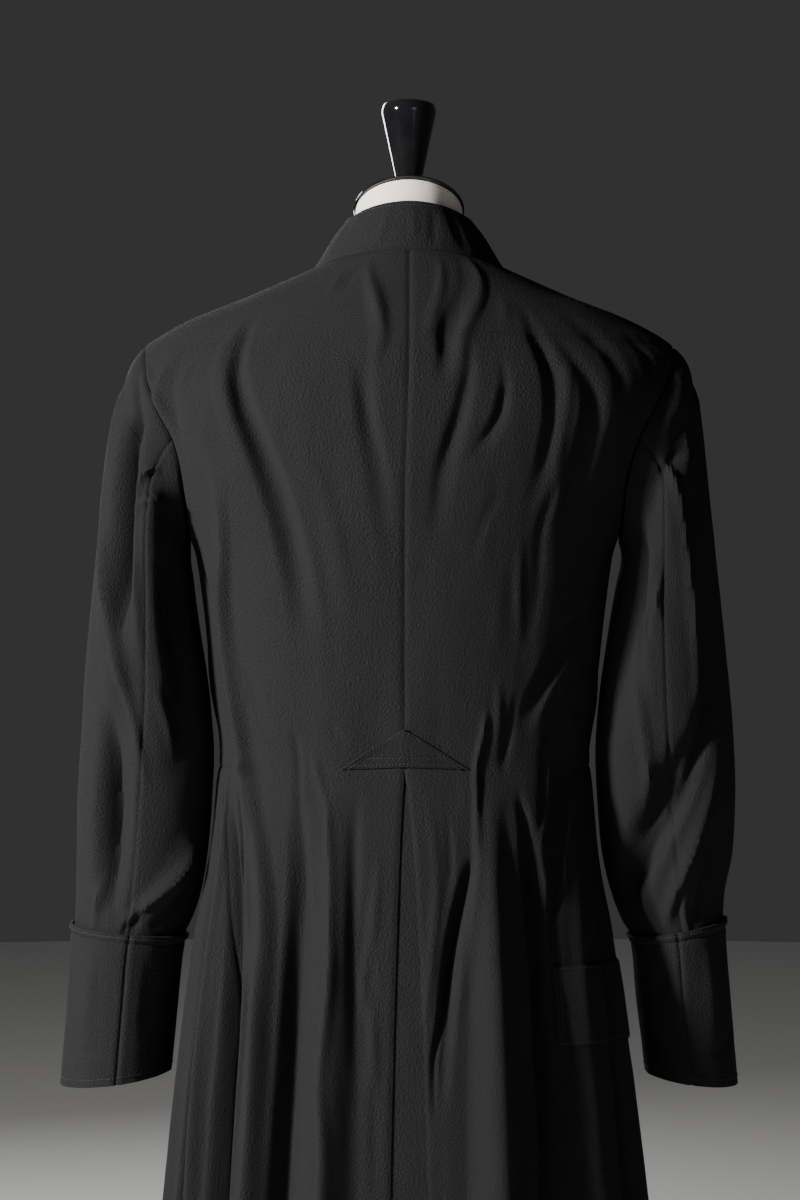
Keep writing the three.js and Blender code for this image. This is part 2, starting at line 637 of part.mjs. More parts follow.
function addSleeve(end, side, table, folds) {
  const surface = sleeveSurface(side, table, folds);
  const pieces = { upper: [-135, 90], under: [90, 225] };
  for (const [piece, [from, to]] of Object.entries(pieces)) {
    const cells = (to - from) / ARM_STEP;
    const place = (i, j) => [SLEEVE_STATIONS[j], from + i * ARM_STEP];
    add(`sleeve_${piece}_${end}`, panelGeometry(surface, place, cells, SLEEVE_STATIONS.length, WALL), cloth);
  }
  const turns = Array.from({ length: 360 / ARM_STEP }, (_, i) => i * ARM_STEP);
  const layer = (out) => CUFF_STATIONS.map((along) => turns.map((around) => surface(along, around, out)));
  add(`cuff_${end}`, wallGeometry(layer(LAYER_GAP + CUFF_WALL), layer(LAYER_GAP), true), cloth);
}

// Plain domed buttons down the centre front, on the left front's lap
function addButtons() {
  const profile = BUTTON_PROFILE.map(([across, up]) => (
    new THREE.Vector2(BUTTON.radius * across, BUTTON.height * up)
  ));
  for (let k = 0; k < BUTTON.count; k += 1) {
    const level = BUTTON.top - k * BUTTON.pitch;
    const mesh = add(`button_${k + 1}`, new THREE.LatheGeometry(profile, BUTTON.sides), horn);
    const normal = bodyNormal(180, level);
    mesh.position.copy(onPiece(frontPlace(1), allLevels, FRONT_CELLS, level, LAYER_GAP));
    mesh.quaternion.setFromUnitVectors(new THREE.Vector3(0, 1, 0), normal);
  }
}

// A closed solid through rings of points, with flat or slanted ends
function ringSolid(rings) {
  const count = rings[0].length;
  const points = rings.flat();
  const middle = (ring) => ring.reduce((sum, p) => sum.add(p), new THREE.Vector3()).divideScalar(ring.length);
  const faces = [];
  for (let j = 0; j < rings.length - 1; j += 1) {
    for (let i = 0; i < count; i += 1) {
      const next = (i + 1) % count;
      faces.push(j * count + i, j * count + next, (j + 1) * count + next);
      faces.push(j * count + i, (j + 1) * count + next, (j + 1) * count + i);
    }
  }
  const foot = points.push(middle(rings[0])) - 1;
  const head = points.push(middle(rings[rings.length - 1])) - 1;
  const top = (rings.length - 1) * count;
  for (let i = 0; i < count; i += 1) {
    const next = (i + 1) % count;
    faces.push(next, i, foot);
    faces.push(top + i, top + next, head);
  }
  return solidGeometry(points, faces);
}

function ringOf(surface) {
  const points = [];
  for (let degrees = -180; degrees < 180; degrees += 12) points.push(surface(degrees));
  return points;
}

// A ring of the form's neck, in a plane that slopes down to the front
function neckRing(shape, out = 0, up = 0) {
  const { halfWidth, back, front, height, lean } = shape;
  const sizes = { halfWidth: halfWidth + out, back: back + out, front: front + out };
  const outline = { ...sizes, exponent: 2, rise: 0, drop: 0 };
  return ringOf((degrees) => {
    const point = section(degrees, height, outline);
    point.z += lean * point.y + up;
    return point;
  });
}

// The form inside the coat: the coat's own sections, in by the wall and a gap
function addForm() {
  const lowLevels = [FORM_FOOT, 860, 920, 980, 1028, 1090, 1160, 1230, 1280];
  const formLevels = [...lowLevels, 1320, 1350, 1370, 1385, 1396, 1408, 1424, NECK];
  const rings = formLevels.map((height) => ringOf((degrees) => {
    const aside = Math.abs(Math.sin(radians(degrees))) ** 3;
    const gap = THREE.MathUtils.lerp(column(FORM_GAPS, height, 1), column(FORM_GAPS, height, 2), aside);
    return smoothBody(degrees, height).addScaledVector(bodyNormal(degrees, height), -WALL - gap);
  }));
  rings[0].forEach((point) => point.setZ(FORM_FOOT));
  rings.push(neckRing(NECK_MIDDLE));
  rings.push(neckRing(NECK_TOP));
  add('form_torso', ringSolid(rings), jersey);
  const cap = [neckRing(NECK_TOP, CAP.out, SEAM_GAP), neckRing(NECK_TOP, CAP.out, SEAM_GAP + CAP.height)];
  add('neck_cap', ringSolid(cap), gloss);
}

function lathe(profile, segments) {
  const outline = profile.map(([radius, height]) => new THREE.Vector2(radius, height));
  return new THREE.LatheGeometry(outline, segments).rotateX(Math.PI / 2);
}

function addStand() {
  const { top, widest, radius, waist, foot, stem } = FINIAL;
  const seat = NECK_TOP.height + SEAM_GAP * 2 + CAP.height + FINIAL.over;
  const dome = FINIAL_DOME.map(([share, drop]) => [radius * share, top - drop]);
  const finial = [[0, seat], [foot, seat], [waist, seat + stem], [radius, widest], ...dome];
  add('finial', lathe(finial, FINIAL.sides), gloss);
  const head = FORM_FOOT - SEAM_GAP;
  const heel = POLE.foot + SEAM_GAP;
  add('pole', lathe([[0, heel], [POLE.radius, heel], [POLE.radius, head], [0, head]], POLE.sides), steel);
  const base = [[0, 0], [BASE.radius, 0], [BASE.radius, BASE.rim], [BASE.hub, BASE.height], [0, BASE.height]];
  add('base', lathe(base, BASE.sides), gloss);
}

addBack('back_left', LEFT);
addBack('back_right', RIGHT);
addUnderlay();
addStay('stay_left', LEFT);
addStay('stay_right', RIGHT);
addSideBody('side_body_left', LEFT);
addSideBody('side_body_right', RIGHT);
addSideSkirt('skirt_side_left', LEFT);
addSideSkirt('skirt_side_right', RIGHT);
addHipBand();
addFront('front_left', 1, FRONT_CELLS + LAP_CELLS);
addFront('front_right', -1, FRONT_CELLS);
addCollar();
addSleeve('left', 1, SLEEVE_LEFT, SLEEVE_FOLDS_LEFT);
addSleeve('right', -1, SLEEVE_RIGHT, SLEEVE_FOLDS_RIGHT);
addButtons();
addForm();
addStand();

export default part;
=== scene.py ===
import math

import bmesh
import bpy
import numpy as np
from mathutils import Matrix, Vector


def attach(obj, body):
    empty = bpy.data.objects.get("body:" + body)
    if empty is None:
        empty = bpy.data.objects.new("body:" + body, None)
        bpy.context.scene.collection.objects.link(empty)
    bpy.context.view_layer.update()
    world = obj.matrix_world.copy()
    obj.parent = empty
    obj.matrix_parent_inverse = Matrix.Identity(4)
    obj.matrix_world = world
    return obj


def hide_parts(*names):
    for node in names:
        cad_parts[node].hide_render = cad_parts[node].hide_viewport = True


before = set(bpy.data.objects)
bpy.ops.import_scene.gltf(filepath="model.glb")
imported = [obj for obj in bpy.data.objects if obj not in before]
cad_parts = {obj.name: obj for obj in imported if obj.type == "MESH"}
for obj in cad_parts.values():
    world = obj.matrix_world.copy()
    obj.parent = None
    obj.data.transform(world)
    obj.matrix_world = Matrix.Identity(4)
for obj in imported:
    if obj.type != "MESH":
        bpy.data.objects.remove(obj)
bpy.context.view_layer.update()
print("frame loaded:", len(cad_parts), "nodes")

# The coat's own surface, in metres: its back is towards +Y, the wearer's left towards +X.
# Columns: height at the side, half-width, depth to the back, depth to the front,
# exponent of the superellipse, rise at the centre back, drop at the centre front
bodySections = [
    (0.24, 0.25, 0.182, 0.188, 2.15, 0, 0),
    (0.45, 0.226, 0.164, 0.172, 2.15, 0, 0),
    (0.65, 0.204, 0.148, 0.156, 2.15, 0, 0),
    (0.802, 0.187, 0.134, 0.145, 2.15, 0, 0),
    (0.874, 0.176, 0.125, 0.138, 2.15, 0, 0),
    (0.952, 0.163, 0.112, 0.128, 2.15, 0, 0),
    (1.001, 0.16, 0.099, 0.121, 2.15, 0, 0),
    (1.028, 0.1575, 0.094, 0.118, 2.15, 0, 0),
    (1.088, 0.1635, 0.098, 0.122, 2.15, 0, 0),
    (1.196, 0.177, 0.112, 0.138, 2.15, 0, 0),
    (1.222, 0.186, 0.1155, 0.14, 2.15, 0, 0.001),
    (1.245, 0.195, 0.118, 0.141, 2.15, 0, 0.002),
    (1.27, 0.205, 0.12, 0.1405, 2.18, 0.0005, 0.005),
    (1.301, 0.217, 0.121, 0.138, 2.2, 0.001, 0.01),
    (1.325, 0.228, 0.1195, 0.131, 2.08, 0.0023, 0.016),
    (1.345, 0.234, 0.117, 0.122, 1.9, 0.0034, 0.0215),
    (1.36, 0.233, 0.1125, 0.1155, 1.73, 0.0042, 0.0255),
    (1.375, 0.2244, 0.107, 0.1085, 1.6, 0.005, 0.03),
    (1.388, 0.205, 0.101, 0.1025, 1.6, 0.006, 0.033),
    (1.4, 0.181, 0.094, 0.0965, 1.64, 0.0073, 0.0365),
    (1.414, 0.144, 0.085, 0.0885, 1.72, 0.0087, 0.04),
    (1.428, 0.11, 0.076, 0.0805, 1.85, 0.0097, 0.0427),
    (1.44, 0.081, 0.066, 0.072, 2, 0.0105, 0.045),
]
# Heights of the hem, the waist seam, the shoulder's tip and the collar's foot
hem, waist, tip, neck = 0.240, 1.020, 1.375, 1.440
armhole = {"middle": 1.293, "halfHeight": 0.082, "halfAngle": 26, "upper": 0.8, "lower": 1.15}
sideSeamAt = 150  # degrees round the armhole where the side body begins
sway = {"by": 0.004, "over": 0.150}

# Seams: height, degrees from the centre back
sideBackLeft = [(0.240, 47), (0.800, 50), (1.020, 67), (1.113, 67), (1.222, 78.25)]
sideBackRight = [(0.240, 39), (0.850, 42), (1.020, 60), (1.113, 66), (1.222, 78.25)]
sideFront = [(0.240, 118), (1.020, 112), (1.113, 110), (1.222, 101.75)]
pleatLeft = [(0.240, 4), (0.790, 2.2), (0.958, 1), (1.020, 0)]
pleatRight = [(0.240, 6), (0.785, 3.9), (0.949, 2.1), (1.020, 0)]

# Folds of the body, + to the wearer's left. Each has a lean (the share by which one flank
# is steeper), a sharpness and stations of height, degrees, half-width and rise (- for a trough),
# with no rise where the fold is still flat
bodyFolds = [
    (0, 1, [(1.388, 43, 0.006), (1.29, 33.2, 0.0135, -0.016), (1.12, 26.5, 0.018)]),
    (0, 1, [(1.29, 47, 0.006), (1.157, 59, 0.012, 0.0034), (1.02, 56, 0.012, 0.00425)]),
    (0, 1, [(1.424, 18, 0.0055), (1.396, 11.5, 0.011, 0.0034), (1.34, 8, 0.011)]),
    (0, 1, [(1.375, 12, 0.0055), (1.316, 7.6, 0.011, -0.0034), (1.18, 3, 0.011)]),
    (0, 1, [(1.4, -18, 0.006), (1.38, -13, 0.012, -0.0051), (1.33, -6, 0.01)]),
    (0, 1, [(1.36, -15, 0.0055), (1.3, -9, 0.011, -0.0034), (1.2, -6.5, 0.01)]),
    (0, 1, [(1.345, -20, 0.0045), (1.308, -18, 0.009, -0.00255), (1.27, -14, 0.009)]),
    (0, 1, [(1.4, -34, 0.006), (1.345, -31, 0.012, -0.00425), (1.23, -31, 0.012)]),
    (0, 1, [(1.375, -36, 0.007), (1.3, -42, 0.015, -0.0051), (1.2, -44, 0.014)]),
    (0, 1, [(1.16, -62, 0.016), (1.11, -48, 0.015, -0.006), (1.05, -34, 0.014)]),
    (0, 1, [(1.05, -60, 0.013), (1, -52, 0.013, -0.006), (0.93, -44, 0.013)]),
    (0, 1, [(1.367, 76, 0.0045), (1.335, 66, 0.009, 0.0034), (1.27, 58, 0.009)]),
    (0, 1, [(1.01, 20, 0.016), (0.854, 17.5, 0.024, 0.012), (0.24, 17, 0.042, 0.026)]),
    (0, 1, [(1, 31, 0.01196), (0.84, 28.5, 0.01288, -0.0156), (0.24, 28, 0.02208, -0.026)]),
    (0, 1, [(1.02, 54, 0.012, 0.005), (0.843, 38, 0.014, 0.01), (0.24, 37, 0.026, 0.02)]),
    (0, 1, [(0.96, -19, 0.009), (0.87, -11, 0.01, -0.008), (0.74, -7, 0.009)]),
    (0, 1, [(1.01, -25, 0.015), (0.86, -22, 0.023, 0.014), (0.24, -18, 0.042, 0.026)]),
    (0, 1, [(0.985, -38, 0.012), (0.85, -37, 0.015, -0.018), (0.24, -33, 0.026, -0.024)]),
    (0, 1, [(1.018, 66.5, 0.00736), (0.8, 49, 0.0138, -0.0208), (0.24, 47, 0.02024, -0.0286)]),
    (0, 1, [(1, 69, 0.008), (0.78, 58, 0.01, 0.006), (0.24, 57, 0.02, 0.014)]),
    (0, 1, [(1, 75, 0.00552), (0.78, 66, 0.00736, -0.0169), (0.24, 65, 0.0138, -0.0234)]),
    (0, 1, [(1, 83, 0.01), (0.78, 75, 0.012, 0.003), (0.24, 74, 0.022, 0.01)]),
    (0, 1, [(1.018, -60, 0.008), (0.85, -42, 0.012, -0.006), (0.24, -40, 0.018, -0.012)]),
    (0, 1, [(1, -70, 0.014), (0.82, -52, 0.02, 0.006), (0.24, -50, 0.03, 0.014)]),
    (0, 1, [(1, -78, 0.01), (0.78, -66, 0.01, -0.012), (0.24, -65, 0.018, -0.018)]),
    (0, 1, [(1, -86, 0.01), (0.78, -76, 0.014, 0.005), (0.24, -76, 0.024, 0.012)]),
    (0, 1, [(0.99, 96, 0.012), (0.78, 92, 0.016, -0.008), (0.24, 92, 0.026, -0.016)]),
    (0, 1, [(0.98, 108, 0.012), (0.76, 106, 0.018, 0.006), (0.24, 106, 0.03, 0.014)]),
    (0, 1, [(0.96, 122, 0.012), (0.74, 124, 0.018, -0.008), (0.24, 124, 0.03, -0.016)]),
    (0, 1, [(0.94, 138, 0.014), (0.7, 142, 0.022, 0.007), (0.24, 143, 0.034, 0.016)]),
    (0, 1, [(0.98, -98, 0.012), (0.78, -94, 0.016, -0.009), (0.24, -93, 0.026, -0.017)]),
    (0, 1, [(0.99, -110, 0.012), (0.76, -109, 0.018, 0.007), (0.24, -108, 0.03, 0.015)]),
    (0, 1, [(0.95, -126, 0.012), (0.72, -127, 0.018, -0.008), (0.24, -127, 0.03, -0.015)]),
    (0, 1, [(0.93, -142, 0.014), (0.7, -146, 0.022, 0.006), (0.24, -147, 0.034, 0.015)]),
    (0, 1, [(1.37, 126, 0.012), (1.29, 120, 0.013, -0.005), (1.2, 116, 0.012)]),
    (0, 1, [(1.37, -126, 0.012), (1.29, -119, 0.013, -0.006), (1.19, -116, 0.012)]),
    (0, 1, [(1.1, 140, 0.014), (1.04, 136, 0.013, -0.004), (0.98, 132, 0.012)]),
    (0, 1, [(1.11, -138, 0.014), (1.045, -134, 0.013, -0.004), (0.98, -130, 0.012)]),
]
# Smaller creases, in the same way
bodyCreases = [
    (0.2, 1.3, [(1.39, 43.5, 0.0048), (1.375, 41.5, 0.0072, -0.0021), (1.335, 37, 0.0096, -0.0028),
        (1.29, 33.3, 0.0108, -0.00245), (1.249, 28.6, 0.012, -0.0021), (1.19, 27, 0.0144)]),
    (0, 1.2, [(1.392, 46, 0.006), (1.37, 45, 0.0084, 0.00168), (1.32, 41, 0.0108, 0.0014),
        (1.25, 37, 0.0132)]),
    (-0.2, 1.3, [(1.26801, 47.9, 0.0108), (1.23, 51.5, 0.0096, 0.0035), (1.2, 55, 0.0084, 0.005),
        (1.158, 59.2, 0.0084, 0.0055), (1.113, 60.4, 0.0084, 0.005), (1.05, 57.6, 0.0084, 0.0044),
        (1.024, 55.9, 0.0072, 0.003), (0.92, 48.6, 0.0096, 0.0034), (0.843, 40.3, 0.012, 0.003),
        (0.757, 36.4, 0.0144, 0.003), (0.56, 35, 0.0192)]),
    (0, 1.3, [(1.43, 19, 0.006), (1.424, 18.4, 0.0072, 0.0014), (1.396, 11.8, 0.0084, 0.00245),
        (1.377, 8.8, 0.0072, 0.0021), (1.35, 7, 0.0072)]),
    (0.3, 1.3, [(1.36, 13, 0.0072), (1.348, 11.8, 0.0072, -0.00126), (1.316, 7.6, 0.0084, -0.00154),
        (1.276, 4.4, 0.0084, -0.0014), (1.22, 2.6, 0.0084)]),
    (0, 1, [(1.366, 54, 0.0108), (1.335, 54, 0.012, 0.00154), (1.29, 51, 0.0132, 0.00084),
        (1.24, 48, 0.012)]),
    (0, 1, [(1.366, 41, 0.0096), (1.34, 40, 0.0096, 0.00126), (1.3, 38, 0.0096)]),
    (0, 1.2, [(1.425, 30, 0.0048), (1.418, 29, 0.006, 0.0014), (1.402, 27, 0.006)]),
    (0, 1.2, [(1.428, 22, 0.0048), (1.418, 24, 0.006, -0.00112), (1.4, 23, 0.006)]),
    (0.2, 1.3, [(1.356, 74, 0.0072), (1.33, 70, 0.0084, 0.0021), (1.3, 66, 0.0072)]),
    (-0.2, 1.2, [(1.24, 22, 0.0108), (1.18, 20, 0.0132, -0.00105), (1.11, 17, 0.012)]),
    (0.2, 1.2, [(1.3, 22, 0.0108), (1.23, 17, 0.0132, 0.00098), (1.15, 13, 0.012)]),
    (0, 1, [(1.12, 52, 0.008), (1.08, 48, 0.009, -0.0012), (1.04, 42, 0.008)]),
    (0, 1.2, [(1.364, 56.5, 0.0072), (1.347, 61, 0.0084, 0.0035), (1.318, 64.5, 0.0096, 0.00315),
        (1.285, 67, 0.0096, 0.00224), (1.24, 70, 0.0084)]),
    (0.2, 1.2, [(1.364, 51, 0.0072), (1.342, 56, 0.0084, -0.00322), (1.305, 59, 0.0096, -0.00266),
        (1.262, 61, 0.0084)]),
    (0, 1.3, [(1.437, -27, 0.0048), (1.415, -22, 0.0072, -0.0014), (1.393, -15.4, 0.0084, -0.0021),
        (1.365, -10, 0.0096, -0.0021), (1.335, -6.6, 0.0096)]),
    (0, 1.2, [(1.439, -33, 0.006), (1.42, -29, 0.0072, 0.0021), (1.398, -22, 0.0084, 0.0028),
        (1.37, -15, 0.0096, 0.0021), (1.34, -10.5, 0.0096)]),
    (0, 1.2, [(1.436, -16, 0.006), (1.412, -13, 0.0072, 0.00182), (1.39, -9, 0.0084, 0.00168),
        (1.36, -5, 0.0084)]),
    (0.2, 1.3, [(1.366, -16.5, 0.0072), (1.359, -15.2, 0.0072, -0.00126), (1.328, -11.2, 0.0084, -0.00168),
        (1.299, -9.1, 0.0084, -0.00154), (1.265, -6.9, 0.0084, -0.00112), (1.225, -6.4, 0.0072)]),
    (0.4, 1.3, [(1.352, -20.8, 0.006), (1.339, -20.3, 0.006, -0.00154), (1.308, -17.9, 0.0072, -0.0021),
        (1.285, -14.6, 0.006, -0.00112), (1.268, -12, 0.006)]),
    (0, 1.3, [(1.375, -32.5, 0.0084), (1.361, -31.5, 0.0084, -0.00175), (1.33, -29.4, 0.0096, -0.00224),
        (1.275, -31.4, 0.0096, -0.00126), (1.235, -32, 0.0084)]),
    (0, 1.2, [(1.352, -35, 0.0096), (1.34, -34.1, 0.0108, 0.00126), (1.309, -32.6, 0.0108, 0.0014),
        (1.275, -34.6, 0.0108, 0.00112), (1.225, -41, 0.0108)]),
    (0, 1.2, [(1.392, -44, 0.0108), (1.372, -46.9, 0.0132, -0.0021), (1.35, -48.5, 0.0132, -0.00168),
        (1.315, -50, 0.012)]),
    (0.2, 1.3, [(1.38, -58, 0.0084), (1.355, -61, 0.0096, -0.0021), (1.32, -62, 0.0096)]),
    (0.2, 1.3, [(1.378, -66, 0.0072), (1.35, -71, 0.0084, 0.0021), (1.318, -70, 0.0072)]),
    (0, 1.2, [(1.405, -31, 0.006), (1.395, -29, 0.0072, 0.00112), (1.372, -24, 0.0072)]),
    (0.3, 1.3, [(1.25, -22, 0.0072), (1.225, -19, 0.0084, -0.00112), (1.185, -16, 0.0072)]),
    (0.3, 1.3, [(1.262, -38, 0.0072), (1.225, -36, 0.0084, -0.00154), (1.17, -38, 0.0084, -0.00098),
        (1.12, -36, 0.0072)]),
    (-0.2, 1.4, [(1.215, -30, 0.007), (1.17, -31, 0.008, 0.0016), (1.118, -33, 0.007)]),
    (0.3, 1.5, [(1.165, -63, 0.006), (1.15, -60.6, 0.007, -0.003), (1.128, -49, 0.008, -0.004),
        (1.102, -43, 0.007, -0.003), (1.08, -38, 0.006)]),
    (0, 1.4, [(1.135, -58, 0.006), (1.115, -54, 0.007, 0.0026), (1.085, -46, 0.007, 0.0024),
        (1.062, -41, 0.006)]),
    (0.2, 1.4, [(1.108, -62, 0.006), (1.085, -57, 0.007, -0.003), (1.055, -50, 0.007, -0.003),
        (1.03, -45, 0.006)]),
    (0, 1.4, [(1.075, -66, 0.006), (1.05, -60, 0.007, 0.003), (1.027, -54.3, 0.007, 0.003),
        (0.998, -50, 0.006, 0.002), (0.974, -46, 0.006)]),
    (0, 1.4, [(1.06, -48, 0.006), (1.03, -46, 0.007, -0.0026), (0.995, -44, 0.007, -0.003),
        (0.965, -42, 0.006)]),
    (-0.3, 1.6, [(1.072, -22.6, 0.005), (1.055, -22.1, 0.006, 0.0026), (1.015, -19.6, 0.006, 0.0034),
        (0.968, -19.4, 0.007, 0.003), (0.9, -17, 0.009, 0.002), (0.82, -12, 0.01)]),
    (0, 1.4, [(1.085, -33, 0.006), (1.05, -31, 0.007, -0.0026), (1.015, -29, 0.007)]),
    (0, 1.3, [(1.1, -26, 0.006), (1.062, -27, 0.007, 0.0018), (1.02, -26, 0.006)]),
    (0.3, 1.5, [(1.062, 22, 0.006), (1.052, 19, 0.006, -0.0014), (1.04, 16.5, 0.006)]),
    (0, 1.3, [(1.034, 27, 0.005), (1.018, 25, 0.006, 0.0022), (0.995, 22, 0.006, 0.0012),
        (0.96, 20, 0.006)]),
    (0.2, 1.5, [(1.06, 34, 0.006), (1.035, 32, 0.007, -0.0018), (1, 31, 0.007, -0.0016),
        (0.96, 30, 0.007)]),
    (0, 1.2, [(1.008, 12, 0.006), (0.96, 13, 0.008, -0.0022), (0.9, 12.5, 0.008, -0.0026),
        (0.82, 11, 0.009, -0.002), (0.74, 9.6, 0.009)]),
    (0, 1.2, [(0.96, 6, 0.005), (0.905, 7, 0.007, 0.0016), (0.86, 7.4, 0.006, -0.0008),
        (0.8, 6.4, 0.007, 0.0015), (0.74, 6, 0.007, -0.001), (0.66, 6, 0.008)]),
    (0.2, 1.3, [(0.93, 9.5, 0.005), (0.88, 9.8, 0.006, -0.0016), (0.85, 9.4, 0.005, 0.0006),
        (0.815, 8.6, 0.006, -0.0014), (0.77, 8.2, 0.006)]),
    (-0.3, 1.7, [(1.002, 21.5, 0.006), (0.96, 20.4, 0.007, 0.0034), (0.854, 17.6, 0.008, 0.004),
        (0.775, 18.7, 0.009, 0.004), (0.712, 17.2, 0.01, 0.0034), (0.56, 17, 0.012, 0.002),
        (0.4, 17, 0.014)]),
    (0.25, 1.5, [(0.99, 30, 0.007), (0.93, 27.5, 0.008, -0.004), (0.87, 25.6, 0.009, -0.005),
        (0.78, 26, 0.01, -0.005), (0.7, 25, 0.012, -0.004), (0.52, 26, 0.014)]),
    (0.3, 1.8, [(0.958, -20, 0.005), (0.934, -16.9, 0.006, -0.0034), (0.878, -11.6, 0.006, -0.005),
        (0.825, -8.3, 0.006, -0.0044), (0.785, -6.2, 0.006, -0.003), (0.74, -6, 0.006)]),
    (0, 1.3, [(1, -6, 0.006), (0.94, -8, 0.008, 0.0016), (0.87, -6, 0.008, 0.0018), (0.8, -3.6, 0.007)]),
    (0.2, 1.3, [(0.99, -11, 0.005), (0.95, -12, 0.006, -0.0018), (0.91, -10, 0.006)]),
    (0.3, 1.5, [(1.005, -34, 0.007), (0.972, -37, 0.009, -0.005), (0.9, -38, 0.011, -0.006),
        (0.82, -37, 0.012, -0.006), (0.72, -35, 0.014, -0.005), (0.56, -34, 0.016)]),
    (0, 1.5, [(0.79, -31, 0.006), (0.753, -31.2, 0.007, 0.0026), (0.693, -30.3, 0.007, 0.0024),
        (0.64, -30, 0.008)]),
    (0.3, 1.5, [(0.77, -28, 0.006), (0.735, -28, 0.007, -0.0026), (0.69, -27.4, 0.007, -0.002),
        (0.64, -27, 0.007)]),
    (0, 1.4, [(0.85, -45, 0.006), (0.8, -44, 0.008, -0.0024), (0.73, -42, 0.009, -0.002),
        (0.64, -41, 0.009)]),
    (0, 1.3, [(0.99, -50, 0.007), (0.94, -49, 0.009, -0.0024), (0.88, -47, 0.009)]),
    (0.3, 1.6, [(1.015, 71, 0.004), (0.985, 70.5, 0.005, -0.006), (0.922, 68, 0.006, -0.009),
        (0.84, 64.5, 0.007, -0.01), (0.752, 61, 0.008, -0.01), (0.6, 59.5, 0.009, -0.008),
        (0.4, 59, 0.01)]),
    (0.3, 1.6, [(1.012, 57.5, 0.004), (0.98, 55, 0.005, -0.005), (0.871, 48.6, 0.006, -0.008),
        (0.76, 47, 0.007, -0.008), (0.6, 46.5, 0.009, -0.006), (0.42, 46, 0.01)]),
    (-0.2, 1.4, [(1.008, 68.5, 0.005), (0.922, 64.6, 0.006, 0.004), (0.8, 60, 0.007, 0.004),
        (0.64, 57.5, 0.009)]),
    (0.3, 1.5, [(1.01, 64, 0.006), (0.95, 60, 0.008, -0.004), (0.86, 53, 0.009, -0.005),
        (0.76, 47.5, 0.01, -0.005), (0.64, 46, 0.012, -0.004), (0.42, 46, 0.014)]),
    (-0.2, 1.5, [(0.985, 73, 0.006), (0.92, 68, 0.008, 0.003), (0.84, 62, 0.008, 0.003),
        (0.72, 58, 0.009, 0.003), (0.56, 57, 0.012)]),
    (0.3, 1.5, [(0.98, 78, 0.005), (0.9, 72, 0.007, -0.004), (0.82, 68, 0.008, -0.005),
        (0.7, 65.5, 0.009, -0.004), (0.52, 65, 0.011)]),
    (0, 1.3, [(0.98, 86, 0.006), (0.9, 80, 0.008, 0.0024), (0.78, 76, 0.009, 0.0024), (0.6, 74, 0.012)]),
    (0, 1.3, [(0.88, 43, 0.006), (0.8, 42, 0.008, -0.002), (0.7, 41, 0.009, -0.0024), (0.54, 42, 0.01)]),
    (0, 1.2, [(0.62, 9, 0.01), (0.5, 9, 0.013, -0.004), (0.33, 9, 0.014, -0.003), (0.26, 9, 0.014)]),
    (0, 1.2, [(0.6, -12, 0.01), (0.46, -12, 0.013, 0.003), (0.3, -12, 0.014)]),
    (0, 1.2, [(0.52, 22, 0.012), (0.4, 22, 0.014, -0.004), (0.27, 22, 0.014)]),
    (0, 1.2, [(0.54, -24, 0.012), (0.42, -24, 0.014, -0.004), (0.28, -24, 0.014)]),
    (0, 1.2, [(0.64, 51, 0.01), (0.5, 52, 0.012, 0.003), (0.33, 52, 0.013)]),
    (0, 1.2, [(0.66, -46, 0.01), (0.5, -45, 0.012, -0.0035), (0.3, -45, 0.013)]),
    (0, 1.2, [(0.64, -57, 0.01), (0.48, -57, 0.012, 0.004), (0.29, -57, 0.013)]),
    (0, 1.2, [(0.7, -72, 0.01), (0.52, -71, 0.012, 0.003), (0.32, -71, 0.013)]),
    (0, 1.2, [(0.72, 84, 0.01), (0.54, 83, 0.012, -0.003), (0.33, 83, 0.013)]),
    (0.2, 1.3, [(1.19, 98, 0.007), (1.15, 94, 0.008, -0.0024), (1.095, 92, 0.008)]),
    (0, 1.3, [(1.13, 84, 0.006), (1.09, 86, 0.007, 0.002), (1.045, 90, 0.006)]),
    (0.2, 1.3, [(1.185, -96, 0.007), (1.14, -92, 0.008, -0.0026), (1.09, -88, 0.008)]),
    (0, 1.3, [(1.11, -80, 0.006), (1.07, -84, 0.007, 0.0024), (1.035, -88, 0.006)]),
    (0.2, 1.3, [(1.368, 128, 0.0096), (1.33, 124, 0.0108, -0.00182), (1.27, 120, 0.0108, -0.00154),
        (1.215, 117, 0.0096)]),
    (0, 1.2, [(1.33, 140, 0.0108), (1.28, 137, 0.012, 0.00126), (1.21, 134, 0.0108)]),
    (0.2, 1.3, [(1.368, -130, 0.0096), (1.325, -125, 0.0108, -0.00196), (1.26, -121, 0.0108, -0.0014),
        (1.205, -118, 0.0096)]),
    (0, 1.2, [(1.32, -143, 0.0108), (1.265, -140, 0.012, 0.00119), (1.19, -136, 0.0108)]),
    (0.2, 1.4, [(1.12, 126, 0.006), (1.09, 132, 0.008, -0.0024), (1.055, 140, 0.007)]),
    (0, 1.4, [(1.082, 122, 0.006), (1.055, 128, 0.007, 0.0022), (1.03, 136, 0.006)]),
    (0.2, 1.4, [(1.125, -124, 0.006), (1.092, -131, 0.008, -0.0026), (1.06, -139, 0.007)]),
    (0, 1.4, [(1.085, -120, 0.006), (1.058, -127, 0.007, 0.0022), (1.03, -134, 0.006)]),
    (0, 1.2, [(1.01, 150, 0.008), (0.93, 152, 0.01, -0.0022), (0.82, 155, 0.011)]),
    (0, 1.2, [(1.01, -152, 0.008), (0.92, -154, 0.01, -0.0024), (0.8, -157, 0.011)]),
    (0, 1.2, [(0.9, 130, 0.009), (0.76, 131, 0.012, 0.003), (0.56, 132, 0.014, 0.004), (0.32, 132, 0.014)]),
    (0, 1.2, [(0.9, -134, 0.009), (0.76, -135, 0.012, 0.003), (0.54, -136, 0.014, 0.004),
        (0.32, -136, 0.014)]),
